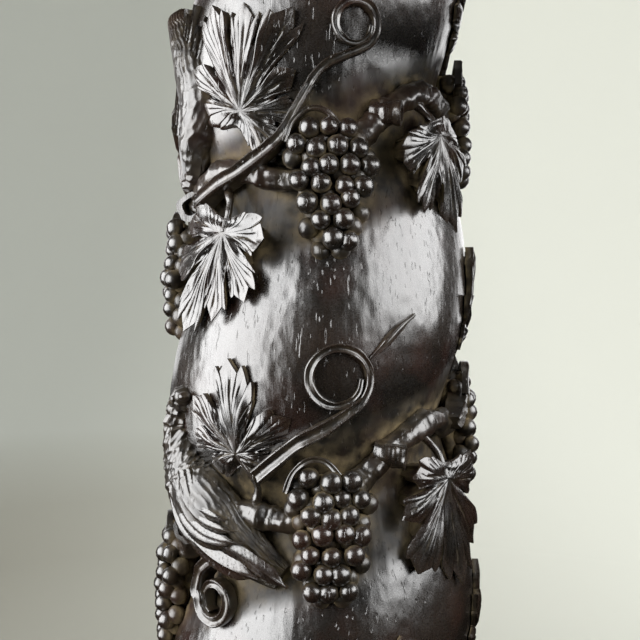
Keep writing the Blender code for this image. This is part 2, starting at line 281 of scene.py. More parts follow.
@dataclass(frozen=True)
class Shaft:
    """The twisted timber that everything is carved from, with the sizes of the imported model."""

    height: float = 0.63
    end_height: float = 0.045
    turn_height: float = 0.205
    ridge: float = 0.100
    hollow_depth: float = 0.021
    roundness: float = 1.1
    diminish: float = 0.139
    rise_at_front: float = 0.0903
    fade_length: float = 0.045
    end_gap: float = 0.005

    def ridge_radius(self, z: Array | float) -> Array | float:
        """Radius on the ridge, which diminishes evenly from foot to neck."""
        return self.ridge * (1.0 + self.diminish * (0.5 - z / self.height))

    def hollow_height(self, place: Array | float) -> Array | float:
        """Height of the middle of the hollow at a place along the vine."""
        return self.height / 2 + self.rise_at_front + self.turn_height * place / 360.0

    def place_at(self, z: float) -> float:
        """Place along the vine where the middle of the hollow is at a height."""
        return (z - self.hollow_height(0.0)) * 360.0 / self.turn_height

    def radius(self, angle: Array | float, z: Array | float) -> Array:
        """Radius of the bare timber.

        A squared sine of the height above the hollow gives the ridge, sharpened so that the hollow is narrow
        and the ridge broad. It is cut inwards from the ridge radius and fades out towards the ends.

        Args:
            angle: turn angle in degrees.
            z: height.

        Returns:
            The radius at each place.
        """
        wave = np.sin(np.pi * (z - self.hollow_height(angle)) / self.turn_height) ** 2
        ridge = (1.0 + self.roundness) * wave / (wave + self.roundness)
        to_end = np.minimum(z - self.end_height, self.height - self.end_height - z)
        fade = smoothstep(to_end / self.fade_length)
        return self.ridge_radius(z) - self.hollow_depth * fade * (1.0 - ridge)

    def point(self, angle: Array, z: Array, radius: Array) -> Array:
        """Points at turn angles in degrees, heights and radii."""
        turn = np.radians(angle)
        return np.stack(np.broadcast_arrays(radius * np.sin(turn), -radius * np.cos(turn), z), axis=-1)

    def spread(self, place: float, height: float, across: Array, up: Array) -> tuple[Array, Array]:
        """Turn angles and heights of a flat pattern wrapped round the shaft with its origin at a place."""
        z = height + up
        return place + np.degrees(across / self.ridge_radius(height)), z

    def places(
        self, first: float, step: float, offset: float, below: float = 0.0, above: float = 0.0,
    ) -> list[tuple[int, float, float]]:
        """Where a carving that is repeated along the vine fits in between the turned ends.

        Args:
            first: place number 0, which may be outside.
            step: degrees between places.
            offset: height of the carving's middle above the hollow's.
            below: how far the carving reaches below its middle.
            above: how far it reaches above.

        Returns:
            The number, the place and the middle's height of each.
        """
        low = self.place_at(self.end_height + self.end_gap - offset + below)
        high = self.place_at(self.height - self.end_height - self.end_gap - offset - above)
        numbers = range(math.ceil((low - first) / step), math.floor((high - first) / step) + 1)
        found = [(number, first + step * number) for number in numbers]
        return [(number, place, float(self.hollow_height(place)) + offset) for number, place in found]


SHAFT = Shaft()


def tube(centres: Array, side: Array, out: Array, profile: Array) -> Array:
    """A profile carried along a path.

    Args:
        centres: the path (rows, 3).
        side: sideways direction at each row.
        out: outward direction at each row.
        profile: sideways and outward distances (rows, columns, 2).

    Returns:
        Rings of points (rows, columns, 3): centre + sideways part + outward part.
    """
    return centres[:, None] + side[:, None] * profile[..., :1] + out[:, None] * profile[..., 1:]


def path_frame(centres: Array) -> tuple[Array, Array]:
    """Directions for a tube on the shaft: out is away from the axis, square to the path, and side is across."""
    along = unit(np.gradient(centres, axis=0))
    radial = unit(centres * np.array([1.0, 1.0, 0.0]))
    side = unit(np.cross(along, radial))
    return side, np.cross(side, along)


# The timber


@dataclass
class Timber:
    """The bare twisted shaft, worked over with a gouge and then scraped smoother on the ridge."""

    columns: int = 348
    rows: int = 264
    lap: float = 2 * MM
    gouge_width: float = 7.5 * MM
    gouge_length: float = 24 * MM
    gouge_depth: float = 0.75 * MM
    gouge_lean: float = 0.35
    scraped: float = 0.65
    unevenness: float = 0.7 * MM
    swell_size: float = 22 * MM
    ripple: float = 0.25
    ripple_size: float = 6 * MM
    worn_size: float = 30 * MM
    dustiest: float = 0.75

    def build(self, finish: bpy.types.Material) -> None:
        """Makes the shaft: its radius, less shallow gouge strokes along the twist, plus slow unevenness."""
        angle = np.linspace(0.0, 360.0, self.columns, endpoint=False)[None, :]
        low, high = SHAFT.end_height - self.lap, SHAFT.height - SHAFT.end_height + self.lap
        z = np.linspace(low, high, self.rows)[:, None]
        radius = SHAFT.radius(angle, z)
        place = SHAFT.point(angle, z, radius)
        around = np.radians(angle) * SHAFT.ridge + 0.0 * z
        along = z + self.gouge_lean * around
        strokes = scoops(self.wrapped(around), along, self.gouge_width, self.gouge_length, 5)
        crest = np.sin(np.pi * ((z - SHAFT.hollow_height(angle)) / SHAFT.turn_height)) ** 2
        radius = radius - self.gouge_depth * (1.0 - self.scraped * crest) * (0.5 - strokes)
        radius = radius + self.unevenness * noise(place, self.swell_size, 9)
        radius = radius + self.ripple * self.unevenness * noise(place, self.ripple_size, 10)
        dust = self.dustiest * (1.0 - ramp(crest, 0.25, 0.56))
        wear = ramp(crest, 0.55, 1.0) * (0.5 + 0.5 * noise(place, self.worn_size, 12))
        skin = Skin()
        skin.add(SHAFT.point(angle, z, radius), dust, wear)
        skin.to_object("twisted_shaft", finish, 50.0)

    def wrapped(self, around: Array) -> Array:
        """Distance round the shaft, stretched so that a whole number of gouge strokes fits."""
        girth = 2 * math.pi * SHAFT.ridge
        return around * (round(girth / self.gouge_width) * self.gouge_width / girth)


@dataclass
class TurnedEnd:
    """A plain turned end: a flat face, a square band, a quirk and a roll to the shaft."""

    name: str
    projection: float
    band: float
    inverted: bool
    columns: int = 240
    swell: float = 4 * MM
    quirk: float = 3 * MM
    arris: float = 0.8 * MM
    marks: float = 0.12 * MM
    dent: float = 0.9 * MM

    def profile(self) -> Array:
        """Heights from the flat face and radii: each corner is a small round, the roll is half a sine wave."""
        joint_height = SHAFT.height - SHAFT.end_height if self.inverted else SHAFT.end_height
        joint = float(SHAFT.ridge_radius(joint_height))
        outer = joint + self.projection
        turn = np.linspace(0.0, np.pi / 2, 5)
        rise, fall = self.arris * (1 - np.cos(turn)), self.arris * (1 - np.sin(turn))
        foot = np.stack([rise, outer - fall], axis=-1)
        face = np.stack([np.zeros(6), np.linspace(0.02, outer - 1.5 * self.arris, 6)], axis=-1)
        side = np.stack([np.linspace(2, 8, 4) / 10 * self.band, np.full(4, outer)], axis=-1)
        top = np.stack([self.band - fall, outer - rise], axis=-1)
        share = np.linspace(0.02, 1.0, 26)
        roll_height = self.band + (SHAFT.end_height - self.band) * share
        roll = outer - self.quirk * (1 - ramp(share, 0.0, 0.1)) + (joint - outer) * share
        roll = roll + self.swell * np.sin(np.pi * share)
        tail = np.array([[SHAFT.end_height + 4 * MM, joint - 4 * MM]])
        return np.concatenate([face, foot, side, top, np.stack([roll_height, roll], axis=-1), tail])

    def build(self, finish: bpy.types.Material) -> None:
        """Makes the end, spun round the axis, with faint turning marks and dents."""
        heights, radii = self.profile().T
        angle = np.linspace(0.0, 360.0, self.columns, endpoint=False)[None, :]
        z = heights[:, None] + 0.0 * angle
        spun = SHAFT.point(angle, z, radii[:, None])
        radius = radii[:, None] - self.marks * ramp(noise(spun, 5 * MM, 31), 0.1, 0.9)
        radius = radius - self.dent * ramp(noise(spun, 9 * MM, 32), 0.62, 0.95)
        z = SHAFT.height - z if self.inverted else z
        dust = 0.6 * np.exp(-(((heights - self.band - 1 * MM) / (2.5 * MM)) ** 2))[:, None] + 0.0 * angle
        wear = 0.5 + 0.5 * noise(spun, 14 * MM, 33)
        skin = Skin()
        skin.add(SHAFT.point(angle, z, radius), dust, wear)
        skin.to_object(self.name, finish, 40.0)


# The vine


@dataclass
class Vine:
    """The vine's stem, wound up the hollow, with knots, chisel marks, cut stubs and the leaves' stalks."""

    radius: float = 7.6 * MM
    sink: float = 2.4 * MM
    wave: float = 13 * MM
    wave_step: float = 90.0
    wave_place: float = 19.5
    offset: float = 12 * MM
    end_gap: float = 28 * MM
    sides: int = 20
    step: float = 1.3 * MM
    knot_gap: float = 31 * MM
    chisel_gap: float = 3.9 * MM
    chisel_depth: float = 0.8 * MM
    knot_swell: float = 0.22
    stub_place: float = 30.0
    stub_step: float = 90.0
    stub_root: float = 7.0 * MM
    stub_reach: Knots = ((-14.0, -2.0, -3.0), (-7.0, -3.0, 1.5), (-1.0, -4.0, 6.0), (3.5, -4.5, 10.5))

    def height(self, place: Array | float) -> Array | float:
        """Height of the stem, which climbs with the hollow and rises over each leaf stalk on a sine wave."""
        wave = np.sin(np.radians(360.0 / self.wave_step * (place - self.wave_place)))
        return SHAFT.hollow_height(place) + self.offset + self.wave * wave

    def stem_point(self, place: Array | float, lift: float = 0.0) -> Array:
        """Middle of the stem at a place, lifted off the wood."""
        z = self.height(place)
        return SHAFT.point(place, z, SHAFT.radius(place, z) + self.radius - self.sink + lift)

    def branch(self, path: Array, radii: Array, seed: int, cut: float = 0.0) -> tuple[Array, Array]:
        """A rough round branch along a path.

        Its radius takes a swelling at each knot, slow lumps and short slanted chisel cuts across the grain.

        Args:
            path: even points along it.
            radii: its radius at each point.
            seed: which lumps.
            cut: depth of the hollow in its last face, as a share of the radius.

        Returns:
            Rings of points and the share of wear at each.
        """
        side, out = path_frame(path)
        turn = circle(self.sides)
        thick = radii[:, None]
        far = distance_along(path)[:, None]
        knot = np.exp(-(((far / self.knot_gap + 0.37 * seed) % 1.0 - 0.5) / 0.1) ** 2)
        rough = np.stack([far + 0.0 * turn, np.cos(turn) * thick, np.sin(turn) * thick], axis=-1)
        lumps = noise(rough, 9 * MM, seed) * 0.19 + noise(rough, 3.4 * MM, seed + 1) * 0.12
        lumps = lumps - 0.13 * groove(turn * 5 / (2 * np.pi) + 0.35 * np.sin(far / (23 * MM)) + 0.1 * seed, 0.5)
        slant = (far + 1.6 * MM * np.sin(turn + far / (14 * MM))) / self.chisel_gap
        strength = ramp(noise(rough, 7 * MM, seed + 2), -0.1, 0.6)
        chisel = groove(slant, 0.55) * strength * self.chisel_depth
        body = thick * (1.0 + self.knot_swell * knot + lumps) - chisel * np.minimum(thick / self.radius, 1.0)
        rings = tube(path, side, out, np.stack([body * np.cos(turn), body * np.sin(turn)], axis=-1))
        wear = np.clip(np.sin(turn) * 0.8 + 0.4 * lumps * 6, 0.0, 1.0) * (1.0 - groove(slant, 0.7))
        if cut > 0.0:
            lip = rings[-1] - path[-1]
            floor = 0.50 * lip - unit(path[-1] - path[-2]) * cut * radii[-1]
            rings = np.concatenate([rings, (path[-1] + 0.62 * lip)[None], (path[-1] + floor)[None]])
            wear = np.concatenate([wear, wear[-1:], 0.0 * wear[-1:]])
        return rings, wear

    def build(self, finish: bpy.types.Material, stalks: list[Array]) -> None:
        """Makes the stem, its stubs and the stalks.

        Args:
            finish: the wood.
            stalks: the knots of each stalk's path, from the stem to its leaf.
        """
        start = SHAFT.place_at(SHAFT.end_height + self.end_gap)
        end = SHAFT.place_at(SHAFT.height - SHAFT.end_height - self.end_gap)
        path = even_steps(self.stem_point(np.linspace(start, end, 900)), self.step)
        taper = np.minimum(ramp(np.arange(len(path)), -6, 14), ramp(len(path) - np.arange(len(path)), -6, 14))
        rings, wear = self.branch(path, self.radius * (0.45 + 0.55 * taper), 3)
        skin = Skin()
        skin.add(rings, 0.25, wear)
        for number, knots in enumerate(stalks):
            path = blend_path(knots, self.step)
            share = np.linspace(0.0, 1.0, len(path))
            rings, wear = self.branch(path, (3.1 - 1.2 * share ** 0.6) * MM, 20 + number)
            skin.add(rings, 0.2, wear)
        found = SHAFT.places(self.stub_place, self.stub_step, self.offset, self.wave, self.wave)
        for number, place, _ in found:
            rings, wear = self.branch(*self.stub(place, number), 60 + number, cut=0.9)
            skin.add(rings, 0.2, wear)
        skin.to_object("vine_stem", finish, 60.0)

    def stub(self, place: float, number: int) -> tuple[Array, Array]:
        """A side branch cut off short, which leaves the stem outwards to the right: its path and its radii."""
        across, up, out = np.array(self.stub_reach).T * MM
        angle, height = SHAFT.spread(place, float(self.height(place)), across, up)
        base = SHAFT.radius(angle, height) + self.radius - self.sink
        path = blend_path(SHAFT.point(angle, height, base + out), self.step)
        return path, np.linspace(self.stub_root, self.radius + 0.5 * MM * (number % 2), len(path))


# Leaves


class Hang(Enum):
    """How a leaf is carved: lying on the ridge, or hanging free over the hollow."""

    FLAT = "flat"
    FREE = "free"


@dataclass(frozen=True)
class Lobe:
    """One lobe of a vine leaf. Its lengths are shares of the leaf's length.

    turn is in degrees clockwise from the leaf's heading. sinus is how far out the gap after it reaches in, as a
    share of the shorter of its two lobes. curl lifts its tip and tilt its clockwise side, in millimetres.
    """

    turn: float
    reach: float
    width: float
    sinus: float = 0.5
    curl: float = 0.0
    tilt: float = 0.0


SPREADING_LEAF = (
    Lobe(-80.0, 0.44, 0.20, 0.6, -1.5, 0.0), Lobe(-50.0, 0.64, 0.18, 0.72, 0.5, 1.0),
    Lobe(-19.0, 0.96, 0.24, 0.42, 1.5, 1.2), Lobe(5.0, 0.90, 0.22, 0.74, 0.5, 0.0),
    Lobe(29.0, 1.00, 0.24, 0.55, 0.0, -3.6), Lobe(56.0, 0.60, 0.20, 0.62, -1.0, -1.5),
    Lobe(86.0, 0.58, 0.20, 0.62, -3.0, -1.0), Lobe(124.0, 0.60, 0.24, 0.35, 1.0, 1.0),
)
UPRIGHT_LEAF = (
    Lobe(-108.0, 0.42, 0.20, 0.6, -1.5, 0.0), Lobe(-70.0, 0.68, 0.24, 0.52, -1.5, 0.0),
    Lobe(-36.0, 0.88, 0.22, 0.80, 0.5, 0.5), Lobe(0.0, 1.00, 0.30, 0.34, 1.0, 0.8),
    Lobe(62.0, 0.74, 0.26, 0.6, -2.0, -2.0), Lobe(104.0, 0.46, 0.20, 0.35, -2.5, 0.0),
)
HANGING_LEAF = (
    Lobe(-108.0, 0.46, 0.22, 0.45, 3.0, 2.0), Lobe(-46.0, 0.68, 0.22, 0.48, 0.0, -1.5),
    Lobe(-18.0, 0.84, 0.20, 0.76, 0.5, -0.5), Lobe(5.0, 1.00, 0.22, 0.46, -0.5, 1.5),
    Lobe(42.0, 0.74, 0.24, 0.50, -1.5, -2.0), Lobe(80.0, 0.52, 0.22, 0.30, -3.0, -1.0),
)
NARROW_LEAF = (
    Lobe(-72.0, 0.50, 0.22, 0.6, -5.0, 2.5), Lobe(-34.0, 0.78, 0.24, 0.64, -4.5, -3.0),
    Lobe(0.0, 1.00, 0.26, 0.6, -5.0, -3.0), Lobe(42.0, 0.78, 0.24, 0.5, -5.0, 3.0),
    Lobe(86.0, 0.54, 0.22, 0.35, -4.0, 3.0),
)
BROAD_LEAF = (
    Lobe(-78.0, 0.62, 0.24, 0.55, 1.0, -2.0), Lobe(-33.0, 0.92, 0.28, 0.52, 1.0, -3.0),
    Lobe(0.0, 1.00, 0.26, 0.58, 0.5, -3.0), Lobe(32.0, 0.86, 0.24, 0.52, -2.0, -2.5),
    Lobe(68.0, 0.60, 0.22, 0.6, -3.0, -1.0), Lobe(104.0, 0.44, 0.20, 0.35, -2.0, 0.0),
)


@dataclass(frozen=True)
class Sort:
    """A sort of leaf: where it points, how long it is, its lobes, and how far it strays from its place.

    heading is in degrees clockwise from upright. shift is in degrees along the vine and drop is downwards.
    """

    heading: float
    length: float
    lobes: tuple[Lobe, ...]
    shift: float = 0.0
    drop: float = 0.0


@dataclass
class Leaf:
    """A vine leaf with irregular toothed lobes, cut with long veins that leave the joint together and part."""

    place: float
    height: float
    sort: Sort
    hang: Hang
    seed: int
    proud: float = 2.3 * MM
    relief: float = 4.6 * MM
    outermost: float = 0.1119
    fineness: float = 0.5 * MM
    steps: int = 15
    thickness: float = 2.6 * MM
    lobe_height: float = 2.2 * MM
    cut_depth: float = 0.9 * MM
    cut_width: float = 0.08
    hairline: float = 0.5 * MM
    hairline_at: float = 0.55
    panel: float = 0.10 * MM
    vein_height: float = 0.2 * MM
    ripple: float = 0.9 * MM
    rib: float = 0.9 * MM
    filled: float = 0.80
    tooth: float = 0.05
    tooth_gap: float = 11.0 * MM
    tooth_columns: tuple[float, ...] = (-0.04, 0.0, 0.04, 0.14, 0.25, 0.38, 0.51, 0.55, 0.59, 0.72, 0.86)
    parting: float = 0.85

    def varied(self) -> list[Lobe]:
        """Its sort's lobes with a little difference in turn, reach and curl, from the leaf's own random draws."""
        draw = np.random.default_rng(self.seed).uniform(-1.0, 1.0, (len(self.sort.lobes), 3))
        return [
            replace(
                lobe, turn=lobe.turn + 3.0 * turn, reach=lobe.reach * (1.0 + 0.05 * reach),
                curl=lobe.curl + 0.7 * curl,
            )
            for lobe, (turn, reach, curl) in zip(self.sort.lobes, draw)
        ]

    def columns(self) -> Array:
        """The edge of the leaf, clockwise, as one column of the patch for each point.

        Each half lobe runs from its tip over its shoulder to the gap between it and its neighbour.

        Returns:
            A row for each point: distance along its lobe's vein and beside it, share of the way from tip to
            gap, the lobe's number, the phase of the teeth and the half width there.
        """
        lobes = self.varied()
        parts = []
        for k, lobe in enumerate(lobes):
            before, after = lobes[k - 1], lobes[(k + 1) % len(lobes)]
            for side, other, sinus in ((-1.0, before, before.sinus), (1.0, after, lobe.sinus)):
                half = math.radians(min((other.turn - lobe.turn) * side % 360.0 / 2.0, 75.0))
                deep = sinus * min(lobe.reach, other.reach)
                room = self.filled * lobe.reach * math.tan(half)
                width = min(lobe.width, 0.62 * room)
                knots = np.array([
                    [lobe.reach, 0.0], [0.87 * lobe.reach, min(0.74 * lobe.width, 0.87 * room)],
                    [0.62 * lobe.reach, width], [deep * math.cos(half), deep * math.sin(half)],
                ])
                line = blend_path(knots * self.sort.length, self.fineness)
                teeth = max(round(len(line) * self.fineness / self.tooth_gap), 2)
                marks = (np.arange(teeth + 2)[:, None] + np.array(self.tooth_columns)).ravel()
                marks = marks[(marks > 0.26) & (marks < teeth + 0.24)]
                phase = np.concatenate([[0.25], marks, [teeth + 0.25]])
                far = (phase - 0.25) / teeth
                along, beside = (np.interp(far, np.linspace(0.0, 1.0, len(line)), part) for part in line.T)
                number, half_width = np.full_like(far, k), np.full_like(far, width * self.sort.length)
                part = np.stack([along, side * beside, far, number, side * phase, half_width], axis=-1)
                parts.append(part[:0:-1] if side < 0 else part)
        return np.concatenate(parts)

    def patch(self) -> Patch:
        """The leaf as one closed patch: out over its face, round its edge and back under it into the wood.

        A column leaves the joint along its lobe's vein and parts from it by a power of the way out. The V-cuts,
        the fine lines and the gaps between teeth follow the columns.

        Returns:
            Rings of points, and the shares of dust and of wear.
        """
        along, beside, far, number, phase, half_width = self.columns().T
        lobes = self.varied()
        turn, curl, tilt = (np.array([getattr(lobe, key) for lobe in lobes])[number.astype(int)]
                            for key in ("turn", "curl", "tilt"))
        size = np.abs(phase)
        saw = size % 1.0
        point = np.where(saw < 0.25, 8.0 * saw - 1.0, 1.0 - (saw - 0.25) / 0.375)
        which = np.stack([np.floor(size) * np.sign(phase), number], axis=-1)
        strength = self.tooth * (0.4 + 1.2 * lattice(which, self.seed)) * (1.0 - ramp(far, 0.8, 1.0))
        share = np.linspace(0.05, 1.0, self.steps)[:, None]
        outward = 1.0 + strength * point
        length = along * outward * share
        aside = beside * outward * share ** (1.0 + self.parting * (1.0 - far ** 4))
        lean = np.radians(turn)
        side = length * np.sin(lean) + aside * np.cos(lean)
        up = length * np.cos(lean) - aside * np.sin(lean)

        cuts = np.clip(1.0 - 2.0 * np.minimum(saw, 1.0 - saw) / self.cut_width, 0.0, 1.0)
        start = 0.12 + 0.3 * lattice(which, self.seed + 6)
        cuts = cuts * ramp(share, start, start + 0.25)
        cuts = cuts * (0.55 + 0.45 * lattice(which, self.seed + 5)) * ramp(far, 0.02, 0.12)
        fine = np.clip(1.0 - 2.0 * np.abs(saw - self.hairline_at) / self.cut_width, 0.0, 1.0)
        fine = fine * ramp(share, 0.35, 0.6) * (1.0 - ramp(share, 0.8, 0.95))
        fine = fine * (lattice(which, self.seed + 7) > 0.3)
        flank = np.exp(-(((aside - 1.8 * self.rib) / (0.45 * self.rib)) ** 2)) * ramp(share, 0.25, 0.45)
        vein = np.exp(-((aside / self.rib) ** 4)) * ramp(share, 0.05, 0.3) * (1.0 - ramp(share, 0.8, 1.0))
        face = self.lobe_height * (0.5 - far ** 4) * ramp(share, 0.0, 0.6)
        face = face + self.panel * np.sin(np.pi * saw) * ramp(share, 0.15, 0.5) + self.vein_height * vein
        face = face - self.cut_depth * np.maximum(cuts, 0.8 * flank) - self.hairline * fine
        across = np.clip(aside / half_width, -1.0, 1.0)
        bent = curl * share ** 3 + tilt * across * ramp(share, 0.1, 0.6)
        face = face + MM * (1.0 - ramp(far, 0.45, 1.0)) * bent
        face = face + self.ripple * np.sin(3.0 * np.pi * share + self.seed) * share
        return self.wrap(side, up, face, np.maximum(cuts, flank), share)

    def wrap(self, side: Array, up: Array, face: Array, cuts: Array, share: Array) -> Patch:
        """Wraps the flat leaf round the shaft and closes it underneath.

        Args:
            side: distance of each point to the right of the joint, before the leaf is turned to its heading.
            up: distance above the joint.
            face: height of the face over its mean surface.
            cuts: share of vein cut.
            share: how far out each ring is.

        Returns:
            Rings of points, and the shares of dust and of wear.
        """
        lean = math.radians(self.sort.heading)
        across = side * math.cos(lean) + up * math.sin(lean)
        rise = up * math.cos(lean) - side * math.sin(lean)
        angle, z = SHAFT.spread(self.place, self.height, across, rise)
        wood = SHAFT.radius(angle, z)
        edge, buried = [-1, -2, -4], [-6, -10]
        drop = np.array([0.45, 1.0, 1.25])[:, None] * self.thickness
        if self.hang is Hang.FREE:
            mean = np.maximum(SHAFT.ridge_radius(z) + self.proud - 1.0 * MM * share, wood + self.relief)
            back = mean[edge] + face[edge] - drop
        else:
            mean = wood + self.relief - 1.2 * MM * share ** 2
            back = np.minimum(mean[edge] + face[edge] - drop, wood[edge] + 0.8 * MM)
        top = np.minimum(mean + face, self.outermost)
        rows = np.concatenate([top, back, wood[buried] - 4 * MM])
        angle = np.concatenate([angle, angle[edge + buried]])
        z = np.concatenate([z, z[edge + buried]])
        hidden = np.zeros((len(edge + buried), face.shape[1]))
        dust = np.concatenate([0.5 * cuts + 0.35 * (1 - share) ** 2, hidden + 0.8])
        wear = ramp(share, 0.75, 1.0) * (1 - cuts) + 0.5 * ramp(face, 0.5 * MM, 3 * MM)
        return SHAFT.point(angle, z, rows), dust, np.clip(np.concatenate([wear, hidden]), 0, 1)


@dataclass
class Foliage:
    """All the leaves: broad ones that lie on the ridge and ones that hang over the hollow."""

    flat_place: float = -30.0
    flat_step: float = 120.0
    flat_offset: float = 52 * MM
    flat_below: float = 30 * MM
    flat_above: float = 60 * MM
    flat_sorts: tuple[Sort, ...] = (Sort(3.0, 64 * MM, SPREADING_LEAF), Sort(-3.0, 52 * MM, UPRIGHT_LEAF))
    foot_place: float = -690.0
    foot_height: float = 33 * MM
    free_place: float = 45.0
    free_step: float = 90.0
    free_offset: float = -4 * MM
    free_below: float = 64 * MM
    free_sorts: tuple[Sort, ...] = (
        Sort(152.0, 62 * MM, NARROW_LEAF, 4.0), Sort(188.0, 62 * MM, BROAD_LEAF, -5.0, 4 * MM),
        Sort(190.0, 60 * MM, HANGING_LEAF, 4.0), Sort(171.0, 66 * MM, BROAD_LEAF, 5.0, 7 * MM),
        Sort(200.0, 60 * MM, NARROW_LEAF, 6.0, 3 * MM), Sort(165.0, 62 * MM, BROAD_LEAF, -4.0),
        Sort(206.0, 63 * MM, HANGING_LEAF, 10.0, 14 * MM),
    )
    perches: tuple[float, ...] = (-405.0, 135.0)
    shortest_stalk: float = 8 * MM

    def flat_leaves(self) -> list[Leaf]:
        """The leaves on the ridge, with one more just above the foot."""
        steps = (self.flat_place, self.flat_step, self.flat_offset, self.flat_below, self.flat_above)
        made = [
            Leaf(place, z, self.flat_sorts[number % len(self.flat_sorts)], Hang.FLAT, 100 + number)
            for number, place, z in SHAFT.places(*steps)
        ]
        foot = Leaf(self.foot_place, SHAFT.end_height + self.foot_height, self.flat_sorts[1], Hang.FLAT, 90)
        return made + [foot]

    def free_leaves(self) -> list[Leaf]:
        """The leaves over the hollow, one between each two bunches but where a bird perches."""
        made = []
        found = SHAFT.places(self.free_place, self.free_step, self.free_offset, self.free_below)
        for number, place, _ in found:
            if any(abs(place - perch) < self.free_step / 2 for perch in self.perches):
                continue
            sort = self.free_sorts[number % len(self.free_sorts)]
            place += sort.shift
            z = float(SHAFT.hollow_height(place)) + self.free_offset - sort.drop
            made.append(Leaf(place, z, sort, Hang.FREE, 200 + number))
        return made

    def build(self, finish: bpy.types.Material) -> None:
        """Makes both sorts of leaf, each as one piece."""
        for name, leaves in (("ridge_leaves", self.flat_leaves()), ("hanging_leaves", self.free_leaves())):
            skin = Skin()
            for leaf in leaves:
                skin.add(*leaf.patch())
            skin.to_object(name, finish, 55.0)

    def stalks(self, vine: Vine) -> list[Array]:
        """Knots of each leaf's stalk, from inside the stem to just inside the leaf's joint."""
        made = []
        for leaf in self.flat_leaves() + self.free_leaves():
            if leaf.hang is Hang.FREE:
                behind, bulge, clear = -9.0, 4.0, 6 * MM
                lift = SHAFT.ridge_radius(leaf.height) + 1.5 * MM
            else:
                behind, bulge, clear = 3.0, 5.0, 2.5 * MM
                lift = SHAFT.radius(leaf.place, leaf.height) + 2.5 * MM
            root = vine.stem_point(leaf.place + behind, -1 * MM)
            joint = SHAFT.point(leaf.place, leaf.height, lift)
            middle = 0.5 * (root + joint)
            angle = leaf.place + 0.5 * behind + bulge
            radius = max(float(SHAFT.radius(angle, middle[2])) + clear, float(np.hypot(*middle[:2])))
            if abs(root[2] - joint[2]) > self.shortest_stalk:
                made.append(np.stack([root, SHAFT.point(angle, middle[2], radius), joint]))
        return made


# Grapes


